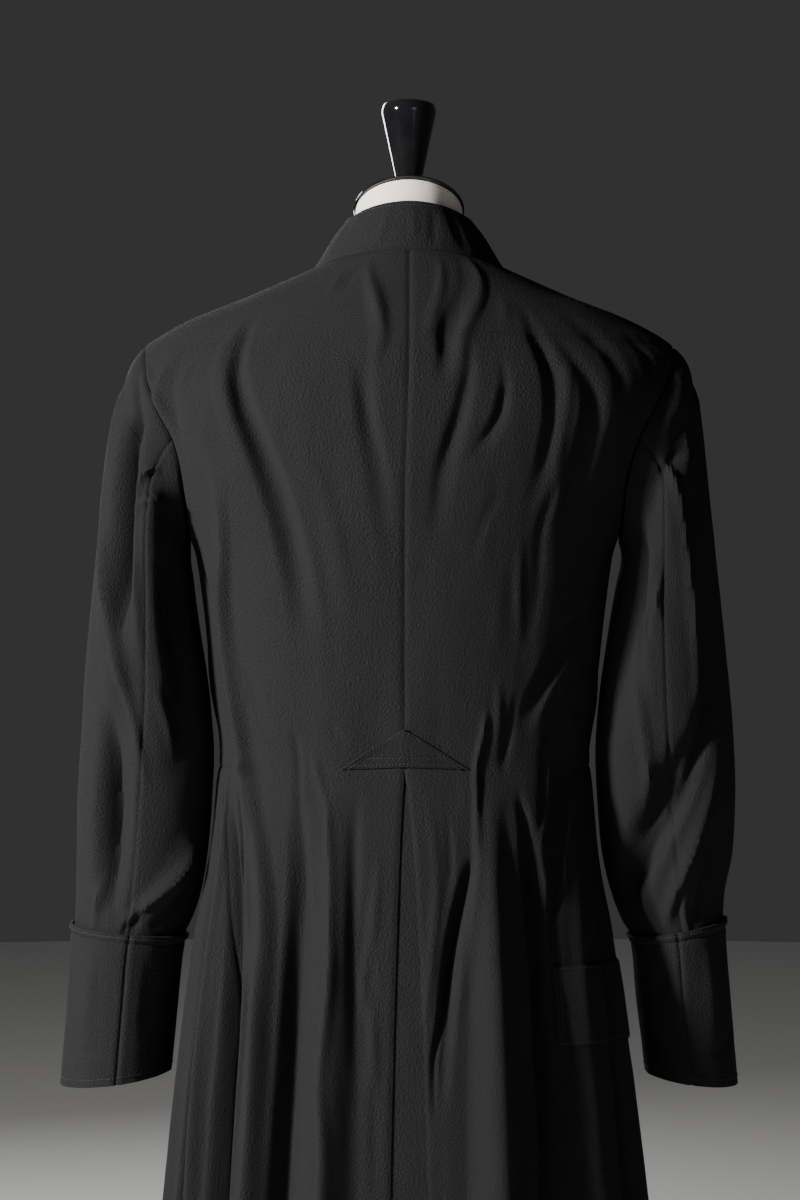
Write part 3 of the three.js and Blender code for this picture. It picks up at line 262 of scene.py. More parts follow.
    (0, 1.2, [(0.76, 158, 0.012), (0.56, 158, 0.015, 0.004), (0.3, 158, 0.016, 0.005),
        (0.25, 158, 0.016, 0.004)]),
    (0, 1.2, [(0.74, -160, 0.012), (0.56, -160, 0.015, 0.004), (0.3, -160, 0.016, 0.005),
        (0.25, -160, 0.016, 0.004)]),
    (0, 1.2, [(0.7, 168, 0.012), (0.5, 168, 0.015, -0.004), (0.3, 168, 0.016, -0.004),
        (0.25, 168, 0.016, -0.003)]),
    (0, 1.2, [(0.68, -170, 0.012), (0.5, -170, 0.015, -0.004), (0.3, -170, 0.016, -0.004),
        (0.25, -170, 0.016, -0.003)]),
    (0, 1.2, [(0.7, 114, 0.01), (0.52, 115, 0.013, -0.004), (0.3, 115, 0.014)]),
    (0, 1.2, [(0.7, -117, 0.01), (0.52, -118, 0.013, -0.004), (0.3, -118, 0.014)]),
]
# Gap between the coat's wall and the dress form: height, at the back and front, at the sides
formGaps = [(0.800, 0.042, 0.040), (0.880, 0.034, 0.030), (0.960, 0.024, 0.020), (1.028, 0.013, 0.014),
            (1.160, 0.013, 0.016), (1.280, 0.013, 0.026), (1.330, 0.010, 0.036), (1.360, 0.007, 0.038),
            (1.385, 0.0034, 0.016), (1.402, 0.0019, 0.0015), (1.420, 0.0012, 0.0012),
            (1.440, 0.00095, 0.0009)]

# Sleeve sections from just under the armhole to the cuff's mouth: outer X and height,
# inner X and height; and the same sections' Y of the middle, depth to the back, depth to the front
sleeveLeft = [
    (0.235, 1.356, 0.1875, 1.194), (0.247, 1.334, 0.1835, 1.176), (0.255, 1.303, 0.181, 1.156),
    (0.26, 1.265, 0.177, 1.13), (0.264, 1.218, 0.172, 1.1), (0.269, 1.165, 0.168, 1.066),
    (0.274, 1.11, 0.1655, 1.028), (0.278, 1.055, 0.1675, 0.988), (0.282, 1, 0.171, 0.948),
    (0.284, 0.95, 0.177, 0.915), (0.285, 0.905, 0.185, 0.89), (0.287, 0.875, 0.194, 0.868),
    (0.291, 0.815, 0.201, 0.815), (0.297, 0.745, 0.207, 0.757),
]
sleeveRight = [
    (0.235, 1.357, 0.184, 1.196), (0.244, 1.336, 0.178, 1.178), (0.249, 1.306, 0.1735, 1.156),
    (0.253, 1.266, 0.169, 1.13), (0.258, 1.22, 0.164, 1.1), (0.264, 1.166, 0.16, 1.066),
    (0.27, 1.11, 0.158, 1.028), (0.275, 1.055, 0.16, 0.988), (0.278, 1, 0.164, 0.95),
    (0.276, 0.95, 0.1715, 0.917), (0.269, 0.908, 0.182, 0.888), (0.268, 0.88, 0.192, 0.868),
    (0.273, 0.815, 0.198, 0.812), (0.28, 0.746, 0.205, 0.756),
]
sleeveDepths = [
    (0, 0.056, 0.062), (0, 0.058, 0.061), (0, 0.06, 0.06), (0, 0.061, 0.06), (0, 0.061, 0.06),
    (0, 0.06, 0.06), (-0.001, 0.058, 0.06), (-0.004, 0.056, 0.059), (-0.008, 0.053, 0.057),
    (-0.012, 0.05, 0.054), (-0.016, 0.049, 0.052), (-0.018, 0.05, 0.052), (-0.024, 0.051, 0.052),
    (-0.03, 0.05, 0.051),
]
# Sleeve folds: lean, sharpness, stations of row, degrees round the sleeve, half-width, rise
sleeveFoldsLeft = [
    (0, 1, [(1, 50, 0.01936), (4, 62, 0.02112, -0.015), (6.6, 62, 0.01936)]),
    (0, 1, [(1, 100, 0.01584), (3, 92, 0.01584, 0.005), (6.4, 88, 0.01584)]),
    (0, 1, [(2, 130, 0.02112), (4.5, 128, 0.02288, -0.0125), (8, 125, 0.02288)]),
    (0, 1, [(4.5, 30, 0.0176), (6.5, 55, 0.01936, 0.005), (8.5, 84, 0.0176)]),
    (0, 1, [(6.8, 66, 0.02112), (9, 68, 0.02288, -0.01625), (11.2, 72, 0.0176)]),
    (0, 1, [(8.5, 150, 0.02112), (10, 128, 0.02112, 0.00625), (11.3, 100, 0.0176)]),
    (0, 1, [(2, 250, 0.0264), (5, 245, 0.0264, -0.01), (9, 250, 0.0264)]),
    (0, 1, [(6, 300, 0.02464), (8.5, 295, 0.02464, -0.00875), (11, 290, 0.02112)]),
    (0.2, 1.4, [(0.9, 58, 0.009), (1.6, 60, 0.011, -0.0081), (3, 62, 0.013, -0.0117),
        (4.5, 64, 0.013, -0.012), (6.4, 62, 0.01)]),
    (0, 1.2, [(0.3, 40, 0.008), (0.7, 52, 0.009, -0.0036), (1.3, 62, 0.009, -0.0036), (1.9, 68, 0.008)]),
    (0, 1.6, [(0.9, 96, 0.006), (1.8, 84, 0.007, 0.0045), (3, 76, 0.007, 0.0054), (4.8, 78, 0.008, 0.005),
        (6.2, 84, 0.007)]),
    (0, 1.6, [(1.3, 112, 0.006), (2.1, 98, 0.007, 0.0036), (3, 82, 0.007, 0.0027), (3.6, 76, 0.006)]),
    (0.2, 1.4, [(3.2, 110, 0.008), (4.5, 112, 0.01, -0.004), (6, 108, 0.009)]),
    (0, 1.5, [(3.8, 22, 0.008), (5.2, 38, 0.009, 0.004), (6.3, 60, 0.009, 0.005), (7.5, 84, 0.008, 0.003),
        (8.4, 96, 0.007)]),
    (0.2, 1.4, [(6.2, 108, 0.007), (6.6, 120, 0.008, -0.003), (7.2, 126, 0.007)]),
    (0, 1.4, [(6.4, 96, 0.006), (7, 112, 0.007, 0.003), (7.6, 118, 0.006)]),
    (0.2, 1.4, [(7.2, 60, 0.008), (8.6, 64, 0.01, -0.005), (10, 70, 0.01, -0.005), (11.2, 76, 0.008)]),
    (0.2, 1.5, [(8.8, 150, 0.008), (9.6, 132, 0.009, 0.005), (10.4, 112, 0.009, 0.006),
        (11.3, 88, 0.008, 0.002), (11.7, 82, 0.008)]),
    (0.2, 1.5, [(9.3, 168, 0.007), (10.2, 148, 0.008, -0.004), (11, 124, 0.008, -0.003),
        (11.5, 116, 0.008)]),
    (0, 1.4, [(10.2, 62, 0.006), (10.8, 58, 0.007, 0.0035), (11.6, 56, 0.007, 0.002)]),
    (0, 1.4, [(10.4, 100, 0.006), (11, 98, 0.006, -0.003), (11.7, 97, 0.006, -0.002)]),
    (0, 1.3, [(0.8, -20, 0.008), (2, -14, 0.01, -0.0018), (3.6, -10, 0.01)]),
    (0, 1.3, [(1, 18, 0.008), (2.2, 24, 0.009, 0.00216), (3.8, 28, 0.009)]),
    (0, 1.3, [(4.4, -30, 0.01), (5.8, -14, 0.01, -0.003), (7, 4, 0.01)]),
    (0, 1.3, [(6.8, -46, 0.01), (8, -30, 0.01, 0.003), (9.2, -10, 0.01)]),
    (0, 1.4, [(5, 230, 0.01), (6, 260, 0.012, -0.004), (7, 292, 0.011)]),
    (0, 1.4, [(6, 222, 0.009), (6.9, 250, 0.01, 0.004), (7.8, 282, 0.009)]),
    (0, 1.4, [(7, 230, 0.009), (7.8, 256, 0.01, -0.004), (8.8, 290, 0.01)]),
    (0, 1.4, [(9, 240, 0.009), (10, 262, 0.01, 0.004), (11.2, 276, 0.009)]),
    (0, 1.4, [(10, 220, 0.008), (10.8, 232, 0.008, -0.003), (11.6, 236, 0.008)]),
]
sleeveFoldsRight = [
    (0, 1, [(1.5, 120, 0.02112), (4, 130, 0.02288, -0.0125), (7, 135, 0.02112)]),
    (0, 1, [(1.2, 84, 0.01584), (3.5, 82, 0.01584, 0.005), (6, 66, 0.01584)]),
    (0, 1, [(5, 30, 0.01936), (7.4, 48, 0.02112, -0.0075), (8.6, 90, 0.02288)]),
    (0, 1, [(7.6, 70, 0.02112), (9, 110, 0.02288, -0.015), (10.6, 150, 0.02112)]),
    (0, 1, [(8.6, 60, 0.0176), (10, 80, 0.01936, 0.00625), (11.3, 90, 0.0176)]),
    (0, 1, [(2, 110, 0.02112), (1.8, 60, 0.0176, -0.005), (3.2, 40, 0.0176)]),
    (0, 1, [(2, 252, 0.0264), (5, 247, 0.0264, -0.01), (9, 250, 0.0264)]),
    (0, 1, [(6, 300, 0.02464), (8.5, 296, 0.02464, -0.00875), (11, 290, 0.02112)]),
    (0.2, 1.3, [(0.9, 104, 0.007), (1.5, 90, 0.008, -0.002), (2.2, 66, 0.009, -0.0026), (2.8, 46, 0.008)]),
    (0, 1.6, [(1, 88, 0.006), (2.2, 80, 0.007, 0.0045), (3.6, 72, 0.008, 0.005), (5, 66, 0.008, 0.005),
        (6.6, 62, 0.008, 0.003), (7.8, 62, 0.007)]),
    (0.2, 1.4, [(1.4, 126, 0.008), (3, 122, 0.01, -0.005), (5, 118, 0.01, -0.005), (6.4, 108, 0.008)]),
    (0, 1.5, [(4.2, 92, 0.005), (4.8, 98, 0.006, 0.003), (5.3, 94, 0.005)]),
    (0, 1.5, [(4.6, 104, 0.005), (5.2, 108, 0.006, -0.003), (5.7, 100, 0.005)]),
    (0, 1.5, [(5.6, 128, 0.008), (6.8, 112, 0.01, 0.004), (8, 108, 0.01, 0.005), (8.9, 118, 0.008)]),
    (0.3, 1.5, [(6.2, 20, 0.008), (7.4, 42, 0.009, -0.004), (8.6, 76, 0.011, -0.007),
        (9.6, 112, 0.011, -0.007), (10.4, 140, 0.009)]),
    (0.2, 1.5, [(8.2, 40, 0.007), (9, 62, 0.009, 0.005), (10, 84, 0.009, 0.006), (11, 100, 0.008, 0.003),
        (11.6, 104, 0.007)]),
    (0, 1.4, [(9.4, 44, 0.007), (10.2, 58, 0.008, -0.0035), (11, 66, 0.008, -0.003), (11.6, 68, 0.007)]),
    (0, 1.4, [(9.8, 130, 0.007), (10.6, 124, 0.008, 0.004), (11.5, 118, 0.007, 0.002)]),
    (0, 1.4, [(10.5, 84, 0.005), (11.1, 84, 0.006, 0.003), (11.7, 84, 0.006, 0.002)]),
    (0, 1.3, [(0.8, -20, 0.008), (2, -15, 0.01, -0.002), (3.4, -10, 0.01)]),
    (0, 1.3, [(1.2, 20, 0.008), (2.2, 28, 0.009, 0.003), (3.4, 34, 0.009)]),
    (0, 1.3, [(4.6, -34, 0.01), (6, -16, 0.01, -0.003), (7.2, 4, 0.01)]),
    (0, 1.3, [(7, -44, 0.01), (8.2, -28, 0.01, 0.003), (9.4, -6, 0.01)]),
    (0, 1.4, [(5, 232, 0.01), (6, 262, 0.012, -0.004), (7, 294, 0.011)]),
    (0, 1.4, [(6, 224, 0.009), (7, 252, 0.01, 0.004), (7.9, 284, 0.009)]),
    (0, 1.4, [(7.2, 228, 0.009), (8, 256, 0.01, -0.004), (9, 292, 0.01)]),
    (0, 1.4, [(9.2, 238, 0.009), (10, 260, 0.01, 0.004), (11.2, 272, 0.009)]),
]


def column(table, at, index):  # a curve through a table's rows that doesn't overshoot them
    rows = np.asarray(table, float)
    place, value = rows[:, 0], rows[:, index]
    at = np.clip(at, place[0], place[-1])
    grade = np.diff(value) / np.diff(place)
    product = grade[:-1] * grade[1:]
    total = np.where(product > 0, grade[:-1] + grade[1:], 1)
    slope = np.concatenate([grade[:1], np.where(product > 0, 2 * product / total, 0), grade[-1:]])
    low = np.clip(np.searchsorted(place, at, side="right") - 1, 0, len(place) - 2)
    span = place[low + 1] - place[low]
    u = (at - place[low]) / span
    rise = u * u * (3 - 2 * u)
    bend = span * u * (1 - u) * ((1 - u) * slope[low] - u * slope[low + 1])
    return value[low] * (1 - rise) + value[low + 1] * rise + bend


def ease(low, high, value):
    u = np.clip((value - low) / (high - low), 0, 1)
    return u * u * (3 - 2 * u)


def blendOf(one, other, share):
    return one + (other - one) * share


def section(degrees, height, halfWidth, back, front, exponent, rise, drop):
    turn = np.radians(degrees)
    across, along = np.sin(turn), np.cos(turn)
    power = 2 / exponent
    x = halfWidth * np.sign(across) * np.abs(across) ** power
    y = np.where(along > 0, back, front) * np.sign(along) * np.abs(along) ** power
    z = height + np.where(along > 0, rise, -drop) * along * along
    return np.stack(np.broadcast_arrays(x, y, z), axis=-1)


def smoothBody(degrees, height):
    sizes = [column(bodySections, height, k) for k in range(1, 7)]
    points = section(degrees, height, *sizes)
    points[..., 0] += sway["by"] * (1 - ease(tip - sway["over"], tip, height))
    return points


def unit(vectors):
    return vectors / np.maximum(np.linalg.norm(vectors, axis=-1, keepdims=True), 1e-12)


def normalOf(surface, u, v, stepU, stepV):
    alongU = surface(u + stepU, v) - surface(u - stepU, v)
    alongV = surface(u, v + stepV) - surface(u, v - stepV)
    return unit(np.cross(alongU, alongV))


# Steps over which a surface's slope is taken; the signs turn the normals outwards
slopeSteps = {"body": (-1.5, 0.004), "collar": (-1.5, 0.04), "sleeve": (0.08, 3)}


def bodyNormal(degrees, height):
    return normalOf(smoothBody, degrees, height, *slopeSteps["body"])


def foldLift(points, surface, normals, folds):  # how far the folds move each point out
    flat = points.reshape(-1, 3)
    lift = np.zeros(len(flat))
    perSpan = 8  # straight steps from one station to the next
    for lean, sharpness, stations in folds:
        rows = np.array([(*station, 0)[:4] for station in stations], float)
        knots = np.column_stack([np.arange(len(rows)), rows])
        steps = np.linspace(0, len(rows) - 1, perSpan * (len(rows) - 1) + 1)
        place, turn, half, rise = (column(knots, steps, k) for k in (1, 2, 3, 4))
        line = surface(turn, place)
        reach = half.max() * (1 + abs(lean))
        boxed = (flat > line.min(0) - reach) & (flat < line.max(0) + reach)
        near = np.flatnonzero(np.all(boxed, axis=1))
        if not len(near):
            continue
        here = flat[near]
        way = np.diff(line, axis=0)
        share = np.clip(((here[:, None] - line[:-1]) * way).sum(2) / (way ** 2).sum(1), 0, 1)
        gap = here[:, None] - line[:-1] - share[..., None] * way
        nearest = np.linalg.norm(gap, axis=2).argmin(1)
        pick = np.arange(len(near))
        gap, share = gap[pick, nearest], share[pick, nearest]
        at = steps[nearest] + share / perSpan
        across = np.cross(way, normals(turn, place)[:-1])[nearest]
        flank = np.where((gap * across).sum(1) > 0, 1 + lean, 1 - lean)
        widths = np.interp(at, steps, half) * flank
        apart = np.minimum(np.linalg.norm(gap, axis=1) / np.maximum(widths, 1e-6), 1)
        lift[near] += np.interp(at, steps, rise) * ((1 + np.cos(np.pi * apart)) / 2) ** sharpness
    return lift.reshape(points.shape[:-1])


latticeSize = 32
lattice = np.random.default_rng(11).uniform(-1, 1, (latticeSize,) * 3)


def cloudy(points, size):  # smooth noise from -1 to 1, its lumps of the given size along X, Y, Z
    place = points / np.asarray(size) + 2 * latticeSize
    low = np.floor(place).astype(int)
    u = place - low
    u = u * u * (3 - 2 * u)
    total = 0
    for corner in range(8):
        bits = [(corner >> k) & 1 for k in range(3)]
        weight = np.prod([u[..., k] if bits[k] else 1 - u[..., k] for k in range(3)], axis=0)
        total = total + weight * lattice[tuple((low[..., k] + bits[k]) % latticeSize for k in range(3))]
    return total


# Small unevenness of hanging cloth: size of the lumps, height. It calms where the form is close
clothWaves = [((0.030, 0.030, 0.130), 0.0011), ((0.012, 0.012, 0.050), 0.0004),
              ((0.006, 0.006, 0.012), 0.00012)]
calmSettings = {"room": 0.006, "least": 0.2}


def waves(points, share=1.0):
    return share * sum(height * cloudy(points, size) for size, height in clothWaves)


def body(degrees, height, out=0.0):  # the outer face of the coat's body
    degrees, height = np.broadcast_arrays(np.asarray(degrees, float), np.asarray(height, float))
    smooth = smoothBody(degrees, height)
    room = column(formGaps, height, 1)  # a trough stops short of the form
    lift = foldLift(smooth, smoothBody, bodyNormal, bodyFolds + bodyCreases)
    lift = lift + waves(smooth, np.clip(room / calmSettings["room"], calmSettings["least"], 1))
    move = np.where(lift < 0, room * np.tanh(lift / room), lift) + out
    return smooth + bodyNormal(degrees, height) * move[..., None]


def armholeHalfAngle(up):
    power = np.where(up > 0, armhole["upper"], armhole["lower"])
    return armhole["halfAngle"] * np.sqrt(np.maximum(0, 1 - up * up)) ** power


def armholePlace(around):  # degrees round the body and height, from the armhole's top by the back
    turn = np.radians(around)
    up = np.cos(turn)
    height = armhole["middle"] + armhole["halfHeight"] * up
    return 90 - np.sign(np.sin(turn)) * armholeHalfAngle(up), height


armFoot = float(armholePlace(sideSeamAt)[1])


def outerEdge(seam, height, way):  # degrees of the outer edge of a back (way 1) or a front (way -1)
    up = np.clip((height - armhole["middle"]) / armhole["halfHeight"], -1, 1)
    edge = 90 - way * armholeHalfAngle(up)
    edge = np.where(height < armFoot - 1e-5, column(seam, height, 1), edge)
    return np.where(height >= tip - 1e-6, 90.0, edge)


# Rows of the long pieces, close together where the armhole's edge turns
rowStep = 0.0040
skirtRows = np.linspace(hem, waist, round((waist - hem) / rowStep) + 1)
bodiceRows = np.linspace(waist, armFoot, round((armFoot - waist) / rowStep) + 1)
armTurns = np.concatenate([np.arange(sideSeamAt, 24.9, -2.5), [22.5, 19, 15, 10, 0]])
armRows = armholePlace(armTurns)[1]
shoulderRows = np.linspace(tip, neck, 22)
longRows = np.concatenate([skirtRows, bodiceRows[1:], armRows[1:], shoulderRows[1:]])


def acrossShares(widths, cells, edge=0.0045, edgeCells=4, mostShare=0.12):
    # shares across each row, finer in a strip by each edge where the seam dips
    rim = np.minimum(edge / widths, mostShare)[:, None]
    near = np.linspace(0, 1, edgeCells + 1)[None, 1:]
    middle = np.linspace(0, 1, cells - 2 * edgeCells + 1)[None, 1:-1]
    zero = np.zeros((len(widths), 1))
    return np.hstack([zero, rim * near, rim + (1 - 2 * rim) * middle, 1 - rim * near[:, ::-1], zero + 1])


def seamDip(points, sides, depth=0.0011, width=0.0022):  # how far the cloth sinks towards its seams
    dip = np.zeros(points.shape[:2])
    alongRow = np.linalg.norm(np.diff(points, axis=1), axis=2)
    alongRow = np.hstack([np.zeros((len(points), 1)), np.cumsum(alongRow, axis=1)])
    upward = np.linalg.norm(np.diff(points, axis=0), axis=2)
    upward = np.vstack([np.zeros((1, points.shape[1])), np.cumsum(upward, axis=0)])
    away = {"start": alongRow, "end": alongRow[:, -1:] - alongRow,
            "foot": upward, "head": upward[-1:] - upward}
    for side in sides:
        dip += depth * np.exp(-((away[side] / width) ** 2))
    return dip


def gridNormals(points):
    return unit(np.cross(np.gradient(points, axis=1), np.gradient(points, axis=0)))


def addObject(name, data):
    made = bpy.data.objects.new(name, data)
    bpy.context.scene.collection.objects.link(made)
    return made


def makeMesh(name, points, faces, uvs):
    mesh = bpy.data.meshes.new(name)
    mesh.from_pydata(points.tolist(), [], faces.tolist())
    layer = mesh.uv_layers.new(name="cut")
    layer.data.foreach_set("uv", uvs[faces].ravel())
    mesh.shade_smooth()
    return addObject(name, mesh)


def gridFaces(rows, across, closed=False):
    columns = np.arange(across if closed else across - 1)
    j, i = (grid.ravel() for grid in np.meshgrid(np.arange(rows - 1), columns, indexing="ij"))
    here, after = j * across + i, j * across + (i + 1) % across
    return np.column_stack([here, after, after + across, here + across])


sharpAngles = {"cloth": 50, "button": 35, "turned": 38}  # degrees past which an edge is sharp


def settle(piece):  # the evaluated mesh in place of the modifiers
    evaluated = piece.evaluated_get(bpy.context.evaluated_depsgraph_get())
    shaped = bpy.data.meshes.new_from_object(evaluated)
    piece.modifiers.clear()
    piece.data = shaped


coatWall = 0.0017


def clothPiece(name, node, points, out, wall=coatWall, cloth=None, dips=(),
               dipDepth=0.0011, closed=False):
    # a shell of cloth on a grid of points, turned out where normals say, with the wall inside
    side = gridNormals(points)
    side = side if (side * out).sum() > 0 else -side
    if dips:
        points = points - side * seamDip(points, dips, dipDepth)[..., None]
    rows, across = points.shape[:2]
    stepsU = np.linalg.norm(np.diff(points, axis=1), axis=2)
    u = np.hstack([np.zeros((rows, 1)), np.cumsum(stepsU, axis=1)])
    stepsV = np.linalg.norm(np.diff(points, axis=0), axis=2).mean(1)
    v = np.concatenate([[0], np.cumsum(stepsV)])
    uvs = np.stack([u - u[:, -1:] / 2, np.broadcast_to(v[:, None], u.shape)], axis=2).reshape(-1, 2)
    faces = gridFaces(rows, across, closed)
    flat = points.reshape(-1, 3)
    middle = faces[len(faces) // 2]
    corner = flat[middle]
    facing = np.cross(corner[1] - corner[0], corner[3] - corner[0])
    if facing @ side.reshape(-1, 3)[middle[0]] < 0:
        faces = faces[:, ::-1]
    piece = makeMesh(name, flat, faces, uvs)
    piece.data.materials.append(cloth or wool)
    shell = piece.modifiers.new("wall", "SOLIDIFY")
    shell.thickness = wall
    shell.offset = -1
    settle(piece)
    piece.data.set_sharp_from_angle(angle=math.radians(sharpAngles["cloth"]))
    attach(piece, "root")
    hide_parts(node)


def newMaterial(name):
    material = bpy.data.materials.new(name)
    material.use_nodes = True
    nodes, links = material.node_tree.nodes, material.node_tree.links
    return material, nodes, links, nodes["Principled BSDF"]


def objectPlace(nodes):
    return nodes.new("ShaderNodeTexCoord").outputs["Object"]


def mathNode(nodes, links, kind, first, second, third=None):
    node = nodes.new("ShaderNodeMath")
    node.operation = kind
    for socket, value in zip(node.inputs, (first, second, third)):
        if isinstance(value, (int, float)):
            socket.default_value = value
        elif value is not None:
            links.new(value, socket)
    return node.outputs[0]


def noiseNode(nodes, links, place, scale, detail=3.0, roughness=0.55):
    node = nodes.new("ShaderNodeTexNoise")
    node.inputs["Scale"].default_value = scale
    node.inputs["Detail"].default_value = detail
    node.inputs["Roughness"].default_value = roughness
    links.new(place, node.inputs["Vector"])
    return node.outputs["Fac"]


def ribNode(nodes, links, place, pitch, distortion, detail, detailScale, way="X"):
    node = nodes.new("ShaderNodeTexWave")
    node.bands_direction = way
    node.inputs["Scale"].default_value = math.pi / 10 / pitch
    node.inputs["Distortion"].default_value = distortion
    node.inputs["Detail"].default_value = detail
    node.inputs["Detail Scale"].default_value = detailScale
    links.new(place, node.inputs["Vector"])
    return node.outputs["Fac"]


def rampNode(nodes, links, value, look):  # a colour from a value, dark at one end and light at the other
    node = nodes.new("ShaderNodeMapRange")
    node.data_type = "FLOAT_VECTOR"
    low, high = look["between"]
    for socket, given in zip(node.inputs[7:11], ((low,) * 3, (high,) * 3, look["dark"], look["light"])):
        socket.default_value = given
    links.new(value, node.inputs[6])
    return node.outputs[1]


def roughnessFrom(nodes, links, value, look, shader):
    node = nodes.new("ShaderNodeMapRange")
    node.inputs["To Min"].default_value, node.inputs["To Max"].default_value = look["rough"]
    links.new(value, node.inputs["Value"])
    links.new(node.outputs[0], shader.inputs["Roughness"])


def bumpFrom(nodes, links, height, look, shader):
    node = nodes.new("ShaderNodeBump")
    node.inputs["Distance"].default_value, node.inputs["Strength"].default_value = look["bump"]
    links.new(height, node.inputs["Height"])
    links.new(node.outputs[0], shader.inputs["Normal"])


# Fine black wool twill: uneven ribs and fibres, worn a little paler in patches.
# A bump is its depth and strength; a roughness goes from the first value to the second
woolSettings = {
    "dark": (0.0014, 0.0014, 0.0015), "light": (0.0180, 0.0177, 0.0185), "worn": (0.0185, 0.0182, 0.0192),
    "between": (0.76, 1.20), "ribPitch": 0.0013, "ribSlope": 58, "ribShare": 0.16,
    "fibreSize": 0.0021, "fibreShare": 1.8, "grainBase": 0.5, "patchSize": 0.09, "napSize": 0.01,
    "wearFrom": 0.42, "wearGain": 1.6, "bump": (0.0023, 0.75), "rough": (0.92, 0.78),
    "sheen": 0.010, "sheenRough": 0.35, "sheenTint": (0.72, 0.71, 0.78, 1), "specular": 0.04,
}


def woolTwill(name, turn=0.0):
    look = woolSettings
    material, nodes, links, shader = newMaterial(name)
    cut = nodes.new("ShaderNodeUVMap")
    cut.uv_map = "cut"
    mapping = nodes.new("ShaderNodeMapping")
    mapping.inputs["Rotation"].default_value = (0, 0, math.radians(look["ribSlope"] + turn))
    links.new(cut.outputs[0], mapping.inputs["Vector"])
    ribs = ribNode(nodes, links, mapping.outputs[0], look["ribPitch"], 1.6, 1.5, 1.4)
    fibre = noiseNode(nodes, links, cut.outputs[0], 1 / look["fibreSize"], 4, 0.65)
    place = objectPlace(nodes)
    patch = noiseNode(nodes, links, place, 1 / look["patchSize"], 3, 0.5)
    nap = noiseNode(nodes, links, place, 1 / look["napSize"], 3, 0.6)
    weave = mathNode(nodes, links, "MULTIPLY_ADD", ribs, look["ribShare"], look["grainBase"])
    grain = mathNode(nodes, links, "MULTIPLY_ADD", fibre, look["fibreShare"], weave)
    tone = nodes.new("ShaderNodeMix")
    tone.data_type = "RGBA"
    links.new(rampNode(nodes, links, grain, look), tone.inputs[6])
    tone.inputs[7].default_value = (*look["worn"], 1)
    wear = mathNode(nodes, links, "SUBTRACT", patch, look["wearFrom"])
    wear = mathNode(nodes, links, "MULTIPLY", wear, look["wearGain"])
    wear = mathNode(nodes, links, "MAXIMUM", wear, 0.0)
    links.new(mathNode(nodes, links, "MULTIPLY", wear, nap), tone.inputs["Factor"])
    links.new(tone.outputs[2], shader.inputs["Base Color"])
    roughnessFrom(nodes, links, patch, look, shader)
    bumpFrom(nodes, links, grain, look, shader)
    shader.inputs["Sheen Weight"].default_value = look["sheen"]
    shader.inputs["Sheen Roughness"].default_value = look["sheenRough"]
    shader.inputs["Sheen Tint"].default_value = look["sheenTint"]
    shader.inputs["Specular IOR Level"].default_value = look["specular"]
    return material


wool = woolTwill("coatWool")
woolAcross = woolTwill("coatWoolAcross", turn=64)
print("cloth materials made")


def evened(edge, rows, reach=0.012):  # an edge's degrees, averaged over the heights near each row
    near = np.exp(-(((rows[:, None] - rows[None]) / reach) ** 2)) * np.gradient(rows)[None]
    return near @ edge / near.sum(1)


def longPiece(edgeFrom, edgeTo, rows, cells, edgePower=8):
    # a grid from one edge to the other, both given in degrees for every row
    start, end = edgeFrom(rows)[:, None], edgeTo(rows)[:, None]
    even = blendOf(start, end, np.linspace(0, 1, 9)[None])
    chords = np.diff(smoothBody(even, rows[:, None] + 0 * even), axis=1)
    shares = acrossShares(np.linalg.norm(chords, axis=2).sum(1), cells)
    # only the outermost columns follow a sharp turn of an edge, such as the top of the armhole
    evenStart, evenEnd = evened(start[:, 0], rows)[:, None], evened(end[:, 0], rows)[:, None]
    degrees = blendOf(evenStart, evenEnd, shares) + (start - evenStart) * (1 - shares) ** edgePower
    degrees += (end - evenEnd) * shares ** edgePower
    heights = np.broadcast_to(rows[:, None], degrees.shape)
    return degrees, heights, body(degrees, heights)


seamGap = 0.0001


def drawIn(points):  # the edges of a grid in by half a seam's gap
    drawn = points.copy()
    drawn[:, 0] += unit(points[:, 1] - points[:, 0]) * seamGap / 2
    drawn[:, -1] += unit(points[:, -2] - points[:, -1]) * seamGap / 2
    drawn[0] += unit(points[1] - points[0]) * seamGap / 2
    drawn[-1] += unit(points[-2] - points[-1]) * seamGap / 2
    return drawn


# Backs, from the centre seam and the pleat's fold to the side-back seam, armhole and shoulder
backSettings = {"cells": 92, "dips": ("start", "end", "head")}


def makeBack(name, node, side, seam, pleat):
    degrees, heights, points = longPiece(
        lambda rows: side * column(pleat, rows, 1), lambda rows: side * outerEdge(seam, rows, 1),
        longRows, backSettings["cells"])
    clothPiece(name, node, drawIn(points), bodyNormal(degrees, heights),
               dips=backSettings["dips"])


makeBack("backLeft", "back_left", 1, sideBackLeft, pleatLeft)
makeBack("backRight", "back_right", -1, sideBackRight, pleatRight)
print("backs made")

# Fronts, to the centre; the left one laps over the right
frontSettings = {"cells": 62, "lapWidth": 0.018, "lapRise": 0.0025, "lapCells": 8, "dips": ("start", "head")}


